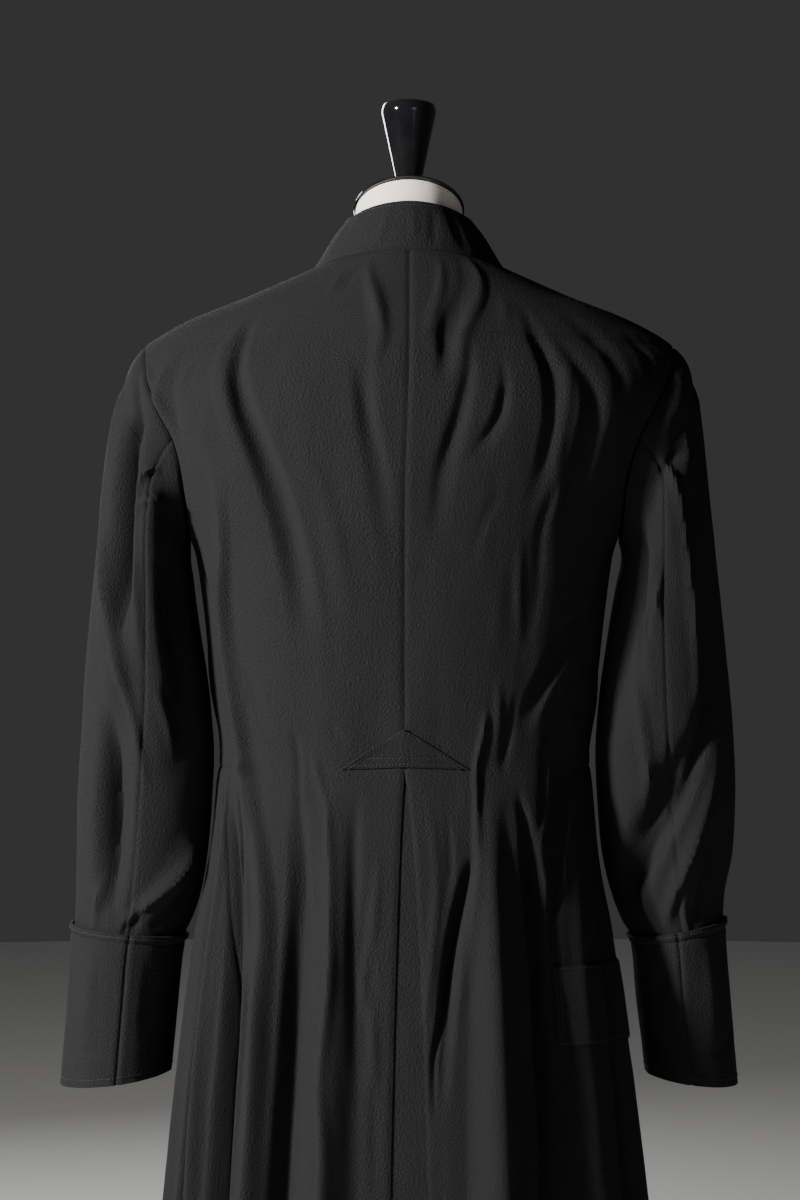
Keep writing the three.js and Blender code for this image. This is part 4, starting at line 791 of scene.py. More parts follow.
def makeFront(name, node, side, lapped):
    degrees, heights, points = longPiece(
        lambda rows: side * outerEdge(sideFront, rows, -1), lambda rows: np.full(len(rows), side * 180.0),
        longRows, frontSettings["cells"])
    if lapped:
        halfWidth, exponent = column(bodySections, longRows, 1), column(bodySections, longRows, 4)
        reach = np.degrees(np.arcsin((frontSettings["lapWidth"] / halfWidth) ** (exponent / 2)))
        shares = np.linspace(0, 1, frontSettings["lapCells"] + 1)
        over = shares[None, 1:] * reach[:, None]
        overHeights = np.broadcast_to(longRows[:, None], over.shape)
        lapPoints = body(180 + over, overHeights, frontSettings["lapRise"])
        rise = ease(0, 1, shares)[None, :, None] * frontSettings["lapRise"]
        near = slice(-len(shares), None)
        points[:, near] += bodyNormal(degrees[:, near], heights[:, near]) * rise
        degrees, heights = np.hstack([degrees, 180 + over]), np.hstack([heights, overHeights])
        points = np.concatenate([points, lapPoints], axis=1)
    clothPiece(name, node, drawIn(points), bodyNormal(degrees, heights),
               dips=frontSettings["dips"])


makeFront("frontLeft", "front_left", 1, True)
makeFront("frontRight", "front_right", -1, False)
print("fronts made")

# Side bodies under the arms, and side skirts below the waist seam
sideBodySettings = {"rows": 56, "cells": 44, "width": 0.1, "armShare": 0.73,
                    "dips": ("start", "end", "foot", "head")}


def makeSideBody(name, node, side, seam):
    share = np.linspace(0, 1, sideBodySettings["rows"] + 1)[:, None]
    across = acrossShares(np.full(len(share), sideBodySettings["width"]), sideBodySettings["cells"])
    foot = armholePlace(blendOf(sideSeamAt, 360 - sideSeamAt, across))
    heights = blendOf(waist, foot[1], share)
    even = blendOf(column(seam, heights, 1), column(sideFront, heights, 1), across)
    top = np.clip((share - sideBodySettings["armShare"]) / (1 - sideBodySettings["armShare"]), 0, 1)
    degrees = side * blendOf(even, foot[0], top)
    clothPiece(name, node, drawIn(body(degrees, heights)), bodyNormal(degrees, heights),
               dips=sideBodySettings["dips"])


makeSideBody("sideBodyLeft", "side_body_left", 1, sideBackLeft)
makeSideBody("sideBodyRight", "side_body_right", -1, sideBackRight)

sideSkirtSettings = {"cells": 116, "dips": ("start", "end", "head")}


def makeSideSkirt(name, node, side, seam):
    degrees, heights, points = longPiece(
        lambda rows: side * column(seam, rows, 1), lambda rows: side * column(sideFront, rows, 1),
        skirtRows, sideSkirtSettings["cells"])
    clothPiece(name, node, drawIn(points), bodyNormal(degrees, heights),
               dips=sideSkirtSettings["dips"])


makeSideSkirt("skirtSideLeft", "skirt_side_left", 1, sideBackLeft)
makeSideSkirt("skirtSideRight", "skirt_side_right", -1, sideBackRight)
print("side pieces made")

# The strip behind the pleat
underlaySettings = {"seamShare": 0.2, "top": 1.010, "behind": 0.0026, "cells": 36, "wall": 0.0014}


def makeUnderlay():
    rows = skirtRows[skirtRows <= underlaySettings["top"]]
    left, right = (underlaySettings["seamShare"] * column(seam, rows, 1)[:, None]
                   for seam in (sideBackLeft, sideBackRight))
    across = np.linspace(-1, 1, underlaySettings["cells"] + 1)[None]
    degrees = np.where(across > 0, left, right) * across
    heights = np.broadcast_to(rows[:, None], degrees.shape)
    points = body(degrees, heights, -underlaySettings["behind"])
    clothPiece("pleatUnderlay", "pleat_underlay", points, bodyNormal(degrees, heights),
               wall=underlaySettings["wall"])


makeUnderlay()


def shareGrid(settings):  # shares across and up a small piece, for every point of its grid
    across = np.linspace(0, 1, settings["cells"] + 1)[None]
    up = np.linspace(0, 1, settings["rows"] + 1)[:, None]
    return np.broadcast_arrays(across, up)


# The stay over the head of the pleat: a triangle in two halves, its left upper edge a raised lip
staySettings = {"apex": 1.054, "foot": 1.0235, "sag": 0.002, "reachLeft": 0.0535, "reachRight": 0.0525,
                "taper": 0.985, "rise": 0.0021, "wall": 0.0013, "lip": 0.0022, "lipPower": 6,
                "lipStart": 0.08, "cells": 22, "rows": 14, "dips": ("end", "foot"), "dipDepth": 0.0006}


def stayPlace(side, across, up):  # degrees and height in a half of the stay, shares from 0 to 1
    reach = staySettings["reachLeft"] if side > 0 else staySettings["reachRight"]
    height = blendOf(staySettings["foot"] - staySettings["sag"] * across * (1 - up), staySettings["apex"], up)
    wide = reach * (1 - up * staySettings["taper"]) * across
    halfWidth, exponent = column(bodySections, height, 1), column(bodySections, height, 4)
    degrees = np.degrees(np.arcsin((wide / halfWidth) ** (exponent / 2)))
    return side * degrees, height


def stayLip(side, across, up):  # how far the left half's edge is raised
    if side < 0:
        return 0
    along = np.sin(np.pi * np.clip(up + staySettings["lipStart"], 0, 1))
    return staySettings["lip"] * across ** staySettings["lipPower"] * along


def makeStay(name, node, side):
    across, up = shareGrid(staySettings)
    degrees, heights = stayPlace(side, across, up)
    points = body(degrees, heights, staySettings["rise"] + stayLip(side, across, up))
    clothPiece(name, node, drawIn(points), bodyNormal(degrees, heights),
               staySettings["wall"], woolAcross, staySettings["dips"], staySettings["dipDepth"])


makeStay("stayLeft", "stay_left", 1)
makeStay("stayRight", "stay_right", -1)

# The band stitched round the right hip
bandSettings = {"foot": 0.797, "top": 0.862, "drop": 0.006, "share": 0.846, "rise": 0.0021, "wall": 0.0013,
                "cells": 60, "rows": 22, "dips": ("start", "end", "foot", "head"), "dipDepth": 0.0008}


def bandPlace(across, up):
    fall = bandSettings["drop"] * across
    height = blendOf(bandSettings["foot"], bandSettings["top"], up) - fall
    edges = column(sideBackRight, height, 1), column(sideFront, height, 1)
    return -blendOf(*edges, across * bandSettings["share"]), height


def makeBand():
    degrees, heights = bandPlace(*shareGrid(bandSettings))
    points = body(degrees, heights, bandSettings["rise"])
    clothPiece("hipBandRight", "hip_band_right", drawIn(points), bodyNormal(degrees, heights),
               bandSettings["wall"], None, bandSettings["dips"],
               bandSettings["dipDepth"])


makeBand()
print("underlay, stay and band made")

# Stand collar, its seam allowance tucked in at the foot
collarSettings = {"tuckIn": 0.0019, "tuckDown": 0.0022, "halfWidth": 0.0495, "back": 0.054, "front": 0.060,
                  "rise": 0.008, "drop": 0.040, "height": 1.484, "rows": 16, "columns": 150,
                  "wall": 0.0024, "bow": 0.6, "waves": 0.35, "dips": ("start", "end", "head"),
                  "dipDepth": 0.0008}


def collarSurface(degrees, up):
    foot = body(degrees, np.full(np.shape(degrees), neck))
    sizes = [np.float64(collarSettings[k]) for k in ("height", "halfWidth", "back", "front")]
    top = section(degrees, *sizes, np.float64(2), collarSettings["rise"], collarSettings["drop"])
    bent = up * (1 - collarSettings["bow"] * up * (1 - up))
    return blendOf(foot, top, np.stack([bent, bent, up], axis=-1))


def collarNormal(degrees, up):
    return normalOf(collarSurface, degrees, up, *slopeSteps["collar"])


collarFolds = [
    (0, 1, [(0.05, 22, 0.006), (0.45, 18, 0.006, 0.0012), (0.95, 17, 0.006)]),
    (0, 1, [(0, -14, 0.006), (0.4, -17, 0.006, -0.0016), (0.9, -20, 0.006)]),
    (0, 1, [(0, -38, 0.006), (0.5, -36, 0.007, -0.0016), (1, -36, 0.006)]),
    (0, 1, [(0, -60, 0.006), (0.5, -62, 0.008, 0.0014), (1, -66, 0.006)]),
    (0, 1, [(0, 60, 0.006), (0.5, 56, 0.008, -0.0012), (1, 55, 0.006)]),
    (0, 1, [(0, 100, 0.008), (0.5, 104, 0.009, -0.0014), (1, 110, 0.006)]),
    (0, 1, [(0, -104, 0.008), (0.5, -108, 0.009, 0.0014), (1, -112, 0.006)]),
    (0, 1, [(0.1, -2, 0.004), (0.5, -3, 0.006, 0.001), (0.95, -2, 0.004)]),
]


def makeCollar():
    up = np.linspace(0, 1, collarSettings["rows"] + 1)[:, None]
    degrees = np.linspace(-180, 180, collarSettings["columns"] + 1)[None]
    degrees, up = np.broadcast_arrays(degrees, up)
    plain, normals = collarSurface(degrees, up), collarNormal(degrees, up)
    lift = foldLift(plain, collarSurface, collarNormal, collarFolds) + waves(plain, collarSettings["waves"])
    points = drawIn(plain + normals * lift[..., None])
    tucked = points[:1] - normals[:1] * collarSettings["tuckIn"] - [0, 0, collarSettings["tuckDown"]]
    points, normals = np.vstack([tucked, points]), np.vstack([normals[:1], normals])
    clothPiece("standCollar", "collar", points, normals,
               collarSettings["wall"], woolAcross, collarSettings["dips"], collarSettings["dipDepth"])


makeCollar()
print("collar made")

# Sleeves: 0 degrees on the outer side, 90 at the back; row 0 is the armhole itself
sleeveSettings = {"rows": 150, "headRows": 16, "lastRow": 11.75, "width": 0.14, "upperCells": 74,
                  "underCells": 46, "headRoll": 0.0035, "rollRows": 1.6, "freeFrom": 0.8,
                  "wavesApart": 3, "dips": ("start", "end", "foot")}


def sleeveSurface(side, table):
    knots = np.column_stack([np.arange(1, len(table) + 1), table, sleeveDepths])

    def ring(along, around):
        outerX, outerZ, innerX, innerZ, middleY, back, front = (column(knots, along, k) for k in range(1, 8))
        across, deep = np.cos(np.radians(around)), np.sin(np.radians(around))
        x = side * ((outerX + innerX) / 2 + (outerX - innerX) / 2 * across)
        y = middleY + np.where(deep > 0, back, front) * deep
        z = (outerZ + innerZ) / 2 + (outerZ - innerZ) / 2 * across
        return np.stack([x, y, z], axis=-1)

    def plain(along, around):
        along, around = np.broadcast_arrays(np.asarray(along, float), np.asarray(around, float))
        degrees, height = armholePlace(around)
        loop = smoothBody(side * degrees, height)
        share = np.clip(along / 2, 0, 1)[..., None]
        # from the armhole by a curve towards the first ring and into the second
        head = (1 - share) ** 2 * loop + 2 * share * (1 - share) * ring(0 * along + 1, around)
        head += share ** 2 * ring(0 * along + 2, around)
        return np.where(along[..., None] < 2, head, ring(along, around))

    return plain


def sleevePoints(side, table, folds, along, around, out=0.0):
    plain = sleeveSurface(side, table)
    firstRow = 0.12  # nearer the armhole the slope is taken here

    def outward(turn, row):
        return side * normalOf(plain, np.maximum(row, firstRow), turn, *slopeSteps["sleeve"])

    def across(turn, row):
        return plain(row, turn)

    along, around = np.broadcast_arrays(np.asarray(along, float), np.asarray(around, float))
    points = plain(along, around)
    normals = outward(around, along)
    degrees, height = armholePlace(around)
    seam = body(side * degrees, height)
    rolled = np.sin(np.pi * np.clip(along / sleeveSettings["rollRows"], 0, 1))
    roll = sleeveSettings["headRoll"] * rolled * ease(-0.2, 0.9, np.cos(np.radians(around)))
    lift = foldLift(points, across, outward, folds) + waves(points + side * sleeveSettings["wavesApart"])
    lift = ease(0, sleeveSettings["freeFrom"], along) * lift + roll + out
    points = points + (seam - plain(0 * along, around)) * (1 - np.clip(along, 0, 1))[..., None]
    return points + normals * lift[..., None], normals


def makeSleeve(end, side, table, folds):
    head = np.linspace(0, 1, sleeveSettings["headRows"])
    rows = np.concatenate([head, np.linspace(1, sleeveSettings["lastRow"], sleeveSettings["rows"])[1:]])
    spans = {"Upper": (-135, 90, sleeveSettings["upperCells"]),
             "Under": (90, 225, sleeveSettings["underCells"])}
    for piece, (start, stop, cells) in spans.items():
        around = blendOf(start, stop, acrossShares(np.full(len(rows), sleeveSettings["width"]), cells))
        points, normals = sleevePoints(side, table, folds, rows[:, None] + 0 * around, around)
        clothPiece(f"sleeve{piece}{end}", f"sleeve_{piece.lower()}_{end.lower()}", drawIn(points), normals,
                   dips=sleeveSettings["dips"])


# Turned-back cuffs, with a seam down the back and a thick folded top edge
cuffSettings = {"top": 11.72, "edgeRows": 22, "edgeTo": 12.0, "plainFrom": 12.05, "foot": 14.0, "rows": 60,
                "cells": 132, "rise": 0.0027, "wall": 0.0022, "edgeRise": 0.0011, "edgeWidth": 0.006,
                "grooveDepth": 0.0009, "grooveWidth": 0.0014, "grooveAt": 1.25, "seamAt": 96,
                "radius": 0.045, "seamDepth": 0.0011, "seamWidth": 0.0013, "ridge": 0.0005,
                "ridgeAt": 0.004, "ridgeWidth": 0.0025, "nearSeam": (-3, -1.9, -1.2, -0.6, 0, 0.6, 1.2, 1.9, 3)}
cuffFolds = [
    (0, 1, [(11.9, 30, 0.008), (12.5, 34, 0.012, -0.0022), (13.4, 30, 0.01)]),
    (0, 1, [(12.1, 62, 0.008), (12.8, 58, 0.011, 0.0018), (13.7, 60, 0.01)]),
    (0.2, 1, [(13.1, 10, 0.01), (13.5, 45, 0.009, -0.002), (13.6, 80, 0.008)]),
    (0, 1, [(12.2, 118, 0.008), (12.8, 124, 0.012, -0.0018), (13.5, 120, 0.01)]),
    (0, 1, [(12, 200, 0.01), (12.9, 205, 0.014, 0.002), (13.8, 200, 0.01)]),
    (0, 1, [(12, 286, 0.01), (13, 280, 0.014, -0.002), (13.8, 284, 0.01)]),
    (0, 1, [(13.4, 300, 0.012), (13.6, 330, 0.01, 0.0016), (13.5, 356, 0.008)]),
]


def bell(distance, width, power=2):
    return np.exp(-((distance / width) ** power))


def cuffPoints(side, table, along, around, out=0.0):
    cuff = cuffSettings
    points, normals = sleevePoints(side, table, cuffFolds, along, around, cuff["rise"] + out)
    top = sleevePoints(side, table, cuffFolds, 0 * along + cuff["top"], around, cuff["rise"] + out)[0]
    fromTop = np.linalg.norm(points - top, axis=-1)
    edge = cuff["edgeRise"] * bell(fromTop, cuff["edgeWidth"], 4)
    groove = cuff["grooveDepth"] * bell(fromTop - cuff["grooveAt"] * cuff["edgeWidth"], cuff["grooveWidth"])
    apart = np.radians((around - cuff["seamAt"] + 180) % 360 - 180) * cuff["radius"]
    seam = cuff["seamDepth"] * bell(apart, cuff["seamWidth"])
    seam -= cuff["ridge"] * bell(np.abs(apart) - cuff["ridgeAt"], cuff["ridgeWidth"])
    return points + normals * (edge - groove - seam)[..., None], normals


def cuffAngles():  # close together by the seam
    seamAt, near = cuffSettings["seamAt"], cuffSettings["nearSeam"]
    spread = np.linspace(0, 360, cuffSettings["cells"], endpoint=False)
    return np.sort(np.concatenate([spread[np.abs(spread - seamAt) > near[-1] + 1], seamAt + np.array(near)]))


def makeCuff(end, side, table):
    cuff = cuffSettings
    rows = np.concatenate([np.linspace(cuff["top"], cuff["edgeTo"], cuff["edgeRows"]),
                           np.linspace(cuff["plainFrom"], cuff["foot"], cuff["rows"])])
    around, rows = np.broadcast_arrays(cuffAngles()[None], rows[:, None])
    points, normals = cuffPoints(side, table, rows, around)
    clothPiece(f"cuff{end}", f"cuff_{end.lower()}", points, normals,
               cuff["wall"], woolAcross, closed=True)


makeSleeve("Left", 1, sleeveLeft, sleeveFoldsLeft)
makeSleeve("Right", -1, sleeveRight, sleeveFoldsRight)
makeCuff("Left", 1, sleeveLeft)
makeCuff("Right", -1, sleeveRight)
print("sleeves and cuffs made")

# Sewing: Geometry Nodes lay a small rounded stitch along every path
threadSettings = {"dark": (0.013, 0.0125, 0.015), "light": (0.034, 0.033, 0.038), "between": (0.3, 0.7),
                  "twistScale": 2600, "roughness": 0.42, "bump": (0.0002, 0.5)}
stitchSettings = {"Stitch Pitch": 0.0030, "Stitch Length": 0.0021, "Thread Thickness": 0.00062}
stitchSides, stitchRings = 6, 4


def threadMaterial():
    material, nodes, links, shader = newMaterial("blackThread")
    twist = noiseNode(nodes, links, objectPlace(nodes), threadSettings["twistScale"], 2)
    links.new(rampNode(nodes, links, twist, threadSettings), shader.inputs["Base Color"])
    bumpFrom(nodes, links, twist, threadSettings, shader)
    shader.inputs["Roughness"].default_value = threadSettings["roughness"]
    return material


thread = threadMaterial()


def newTree(name, inputs, result):  # a tree, its named inputs' identifiers, and its two ends
    tree = bpy.data.node_groups.new(name, "GeometryNodeTree")
    keys = {}
    for label, kind, value in inputs:
        socket = tree.interface.new_socket(label, in_out="INPUT", socket_type="NodeSocket" + kind)
        if value is not None:
            socket.default_value = value
        keys[label] = socket.identifier
    tree.interface.new_socket(result, in_out="OUTPUT", socket_type="NodeSocketGeometry")
    return tree, keys, tree.nodes.new("NodeGroupInput"), tree.nodes.new("NodeGroupOutput")


def placeCopies(tree, points, shape, rotation, scale, material, result):
    # copies of a shape on points, made real and given their material
    place = tree.nodes.new("GeometryNodeInstanceOnPoints")
    realize = tree.nodes.new("GeometryNodeRealizeInstances")
    finish = tree.nodes.new("GeometryNodeSetMaterial")
    for source, socket in ((points, place.inputs["Points"]), (shape, place.inputs["Instance"]),
                           (rotation, place.inputs["Rotation"]), (scale, place.inputs["Scale"]),
                           (place.outputs[0], realize.inputs[0]),
                           (realize.outputs[0], finish.inputs["Geometry"]),
                           (material, finish.inputs["Material"]), (finish.outputs[0], result.inputs[0])):
        tree.links.new(source, socket)


def stitchTree():
    inputs = [(name, "Float", size) for name, size in stitchSettings.items()]
    inputs = [("Paths", "Geometry", None), *inputs, ("Thread", "Material", None)]
    tree, keys, given, result = newTree("stitchesAlongPaths", inputs, "Stitches")
    nodes, links = tree.nodes, tree.links
    toCurve = nodes.new("GeometryNodeMeshToCurve")
    links.new(given.outputs["Paths"], toCurve.inputs[0])
    resample = nodes.new("GeometryNodeCurveToPoints")
    resample.mode = "LENGTH"
    links.new(toCurve.outputs[0], resample.inputs["Curve"])
    links.new(given.outputs["Stitch Pitch"], resample.inputs["Length"])
    ball = nodes.new("GeometryNodeMeshUVSphere")
    ball.inputs["Segments"].default_value = stitchSides
    ball.inputs["Rings"].default_value = stitchRings
    ball.inputs["Radius"].default_value = 0.5  # a stitch one metre long, scaled to its size
    shape = nodes.new("ShaderNodeCombineXYZ")
    for axis, size in (("X", "Thread Thickness"), ("Y", "Thread Thickness"), ("Z", "Stitch Length")):
        links.new(given.outputs[size], shape.inputs[axis])
    placeCopies(tree, resample.outputs["Points"], ball.outputs[0], resample.outputs["Rotation"],
                shape.outputs[0], given.outputs["Thread"], result)
    return tree, keys


stitchNodes, stitchKeys = stitchTree()


def sewAlong(name, paths):  # one piece of stitches along several lists of points
    points = np.concatenate(paths)
    starts = np.cumsum([0] + [len(path) for path in paths])
    edges = [(k, k + 1) for first, last in zip(starts[:-1], starts[1:]) for k in range(first, last - 1)]
    mesh = bpy.data.meshes.new(name)
    mesh.from_pydata(points.tolist(), edges, [])
    piece = addObject(name, mesh)
    sewing = piece.modifiers.new("sewing", "NODES")
    sewing.node_group = stitchNodes
    for size, value in stitchSettings.items():
        sewing[stitchKeys[size]] = value
    sewing[stitchKeys["Thread"]] = thread
    settle(piece)
    piece.data.shade_smooth()
    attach(piece, "root")


onTop = 0.0003  # thread above the cloth
line = np.linspace(0, 1, 60)  # shares along a path
still = np.ones(60)
stayRows = {"in": (0.05, 0.16), "shorterBy": 1.4, "higherBy": 1.6}  # shares in from the stay's edges
bandRows = {"across": (0.04, 0.96), "acrossFrom": 0.01, "up": (0.012, 0.03), "upFrom": 0.04}
cuffRows = {"at": (11.83, 13.9), "points": 181}
collarRow = {"up": 0.9, "above": 0.0004, "reach": 176, "points": 300}


def stayPath(side, inset):  # round a half of the stay, in from its edges
    slope = stayPlace(side, still * (1 - inset), line * (1 - stayRows["shorterBy"] * inset))
    foot = stayPlace(side, line * (1 - inset), still * inset * stayRows["higherBy"])
    raised = staySettings["rise"] + onTop
    return [body(*slope, raised + stayLip(side, 1 - inset, line)), body(*foot, raised)]


def stayStitches():
    paths = [path for side in (1, -1) for inset in stayRows["in"] for path in stayPath(side, inset)]
    sewAlong("stayStitches", paths)


def bandStitches():
    wide, high = (blendOf(bandRows[key], 1 - bandRows[key], line) for key in ("acrossFrom", "upFrom"))
    rows = [(wide, still * share) for share in bandRows["across"]]
    rows += [(still * share, high) for share in bandRows["up"]]
    sewAlong("hipBandStitches", [body(*bandPlace(*row), bandSettings["rise"] + onTop) for row in rows])


def cuffStitches():
    turns = np.linspace(0, 360, cuffRows["points"])
    for end, side, table in (("Left", 1, sleeveLeft), ("Right", -1, sleeveRight)):
        rings = [cuffPoints(side, table, np.full(len(turns), row), turns, onTop)[0] for row in cuffRows["at"]]
        sewAlong(f"cuffStitches{end}", rings)


def collarStitches():
    degrees = np.linspace(-collarRow["reach"], collarRow["reach"], collarRow["points"])
    up = np.full(len(degrees), collarRow["up"])
    sewAlong("collarStitches", [collarSurface(degrees, up) + collarNormal(degrees, up) * collarRow["above"]])


stayStitches()
bandStitches()
cuffStitches()
collarStitches()
print("stitches sewn")

# Buttons: Geometry Nodes set one turned button with four holes on each point of the left front
buttonSettings = {"count": 8, "top": 1.352, "pitch": 0.046, "radius": 0.009, "height": 0.004, "seat": 0.0012,
                  "holes": 4, "holeRadius": 0.0011, "holeRing": 0.0024, "holeSides": 12,
                  "holeFrom": 0.35, "holeTo": 1.2, "segments": 36, "threadRise": 0.0026}
# A button's outline, shares of its radius and height
buttonOutline = [(0, 0), (0.55, 0), (0.82, 0.12), (0.97, 0.42), (1, 0.62), (0.95, 0.84), (0.86, 0.93),
                 (0.76, 0.90), (0.66, 0.74), (0.5, 0.70), (0.2, 0.72), (0, 0.72)]
hornSettings = {"dark": (0.006, 0.0055, 0.0055), "light": (0.022, 0.019, 0.018), "between": (0.3, 0.75),
                "grainScale": 260, "rough": (0.22, 0.42), "bump": (0.0002, 0.2)}


def hornMaterial():
    material, nodes, links, shader = newMaterial("blackHorn")
    grain = noiseNode(nodes, links, objectPlace(nodes), hornSettings["grainScale"], 4)
    links.new(rampNode(nodes, links, grain, hornSettings), shader.inputs["Base Color"])
    roughnessFrom(nodes, links, grain, hornSettings, shader)
    bumpFrom(nodes, links, grain, hornSettings, shader)
    return material


horn = hornMaterial()


def circle(radius, count, turn=0.0):  # X and Y of points round a circle
    turns = [turn + 2 * math.pi * k / count for k in range(count)]
    return [(radius * math.cos(t), radius * math.sin(t)) for t in turns]


def latheMesh(name, profile, segments):
    points = [(0, 0, profile[0][1])]
    for radius, height in profile[1:-1]:
        points += [(x, y, height) for x, y in circle(radius, segments)]
    points.append((0, 0, profile[-1][1]))
    rings = len(profile) - 2
    last = 1 + (rings - 1) * segments
    around = [(k, (k + 1) % segments) for k in range(segments)]
    faces = [(0, 1 + after, 1 + k) for k, after in around]
    for first in range(1, last, segments):
        second = first + segments
        faces += [(first + k, first + after, second + after, second + k) for k, after in around]
    faces += [(last + k, last + after, len(points) - 1) for k, after in around]
    mesh = bpy.data.meshes.new(name)
    mesh.from_pydata(points, [], faces)
    mesh.shade_smooth()
    return mesh


def drillMesh():  # one closed pin for each hole
    sides, height = buttonSettings["holeSides"], buttonSettings["height"]
    points, faces = [], []
    for middleX, middleY in circle(buttonSettings["holeRing"], buttonSettings["holes"], math.pi / 4):
        base = len(points)
        for z in (height * buttonSettings["holeFrom"], height * buttonSettings["holeTo"]):
            points += [(middleX + x, middleY + y, z) for x, y in circle(buttonSettings["holeRadius"], sides)]
        faces += [(base + t, base + (t + 1) % sides, base + sides + (t + 1) % sides, base + sides + t)
                  for t in range(sides)]
        faces += [tuple(reversed(range(base, base + sides))), tuple(range(base + sides, base + 2 * sides))]
    mesh = bpy.data.meshes.new("drill")
    mesh.from_pydata(points, [], faces)
    return mesh


def buttonBlank():
    radius, height = buttonSettings["radius"], buttonSettings["height"]
    profile = [(radius * across, height * up) for across, up in buttonOutline]
    blank = addObject("buttonBlank", latheMesh("buttonBlank", profile, buttonSettings["segments"]))
    drill = addObject("drill", drillMesh())
    cut = blank.modifiers.new("holes", "BOOLEAN")
    cut.object = drill
    cut.operation = "DIFFERENCE"
    settle(blank)
    bpy.data.objects.remove(drill)
    blank.data.set_sharp_from_angle(angle=math.radians(sharpAngles["button"]))
    return blank


def buttonTree(blank):
    inputs = [("Places", "Geometry", None), ("Button Size", "Float", 1.0), ("Horn", "Material", None)]
    tree, keys, given, result = newTree("buttonsOnFront", inputs, "Buttons")
    source = tree.nodes.new("GeometryNodeObjectInfo")
    source.inputs["Object"].default_value = blank
    facing = tree.nodes.new("GeometryNodeInputNamedAttribute")
    facing.data_type = "FLOAT_VECTOR"
    facing.inputs["Name"].default_value = "facing"
    turn = tree.nodes.new("FunctionNodeAlignRotationToVector")
    turn.axis = "Z"
    tree.links.new(facing.outputs["Attribute"], turn.inputs["Vector"])
    placeCopies(tree, given.outputs["Places"], source.outputs["Geometry"], turn.outputs[0],
                given.outputs["Button Size"], given.outputs["Horn"], result)
    return tree, keys


def makeButtons():
    blank = buttonBlank()
    heights = buttonSettings["top"] - buttonSettings["pitch"] * np.arange(buttonSettings["count"])
    turn = np.full(len(heights), 180.0)
    normals = bodyNormal(turn, heights)
    points = body(turn, heights, frontSettings["lapRise"] + buttonSettings["seat"])
    mesh = bpy.data.meshes.new("buttons")
    mesh.from_pydata(points.tolist(), [], [])
    facing = mesh.attributes.new("facing", "FLOAT_VECTOR", "POINT")
    facing.data.foreach_set("vector", normals.ravel())
    piece = addObject("buttons", mesh)
    tree, keys = buttonTree(blank)
    placing = piece.modifiers.new("placing", "NODES")
    placing.node_group = tree
    placing[keys["Button Size"]] = 1.0
    placing[keys["Horn"]] = horn
    settle(piece)
    bpy.data.objects.remove(blank)
    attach(piece, "root")
    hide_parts(*[f"button_{k + 1}" for k in range(buttonSettings["count"])])
    crosses = []
    for point, normal in zip(points, normals):
        for turn in (math.pi / 4, -math.pi / 4):
            arm = np.array([math.cos(turn), 0, math.sin(turn)]) * buttonSettings["holeRing"]
            crosses.append(point + normal * buttonSettings["threadRise"] + np.array([arm, -arm]))
    sewAlong("buttonThreads", crosses)


makeButtons()
print("buttons set")

# Dress form: jersey over a smooth torso, standing a little inside the coat
neckTop = {"halfWidth": 0.0455, "back": 0.048, "front": 0.052, "height": 1.4885, "lean": 0.44}
neckMiddle = {"halfWidth": 0.0456, "back": 0.0481, "front": 0.0524, "height": 1.466, "lean": 0.43}
formSettings = {"foot": 0.800, "columns": 120, "rows": 90, "wall": 0.002, "under": 0.0006,
                "neckShares": (0.25, 0.5, 0.75, 1), "topShares": (0.2, 0.4, 0.6, 0.8, 0.94)}
# The rounded top of the jersey: shares of the way to the middle, rise
jerseyTop = [(0.004, 0.0004), (0.04, 0.0009), (0.5, 0.0009)]
# The cap's rim: out from the neck's edge, up
capRim = [(0.0, 0.0013), (0.0012, 0.0016), (0.0015, 0.0024), (0.0012, 0.0032), (0.0003, 0.0037)]
capRise, capShares = 0.0022, (0.15, 0.4, 0.7)
jerseySettings = {"dark": (0.60, 0.565, 0.50), "light": (0.86, 0.835, 0.78), "between": (0.6, 1.5),
                  "ribPitch": 0.0016, "ribShare": 0.5, "patchShare": 0.6, "fibreScale": 900,
                  "patchScale": 14, "rough": (0.82, 0.92), "bump": (0.0003, 0.5), "sheen": 0.15}


def jerseyMaterial():
    material, nodes, links, shader = newMaterial("formJersey")
    place = objectPlace(nodes)
    ribs = ribNode(nodes, links, place, jerseySettings["ribPitch"], 1.2, 2, 2, "Z")
    fibre = noiseNode(nodes, links, place, jerseySettings["fibreScale"], 3)
    knit = mathNode(nodes, links, "MULTIPLY_ADD", ribs, jerseySettings["ribShare"], fibre)
    patch = noiseNode(nodes, links, place, jerseySettings["patchScale"], 3)
    tone = mathNode(nodes, links, "MULTIPLY_ADD", patch, jerseySettings["patchShare"], knit)
    links.new(rampNode(nodes, links, tone, jerseySettings), shader.inputs["Base Color"])
    roughnessFrom(nodes, links, patch, jerseySettings, shader)
    bumpFrom(nodes, links, knit, jerseySettings, shader)
    shader.inputs["Sheen Weight"].default_value = jerseySettings["sheen"]
    return material


def glossMaterial(name, look):
    material, nodes, links, shader = newMaterial(name)
    place = objectPlace(nodes)
    patch = noiseNode(nodes, links, place, look["patchScale"], 4)
    dust = noiseNode(nodes, links, place, look["dustScale"], 3)
    links.new(rampNode(nodes, links, patch, look), shader.inputs["Base Color"])
    roughnessFrom(nodes, links, mathNode(nodes, links, "MULTIPLY", patch, dust), look, shader)
    bumpFrom(nodes, links, patch, look, shader)
    for socket, value in look["sockets"].items():
        shader.inputs[socket].default_value = value
    return material


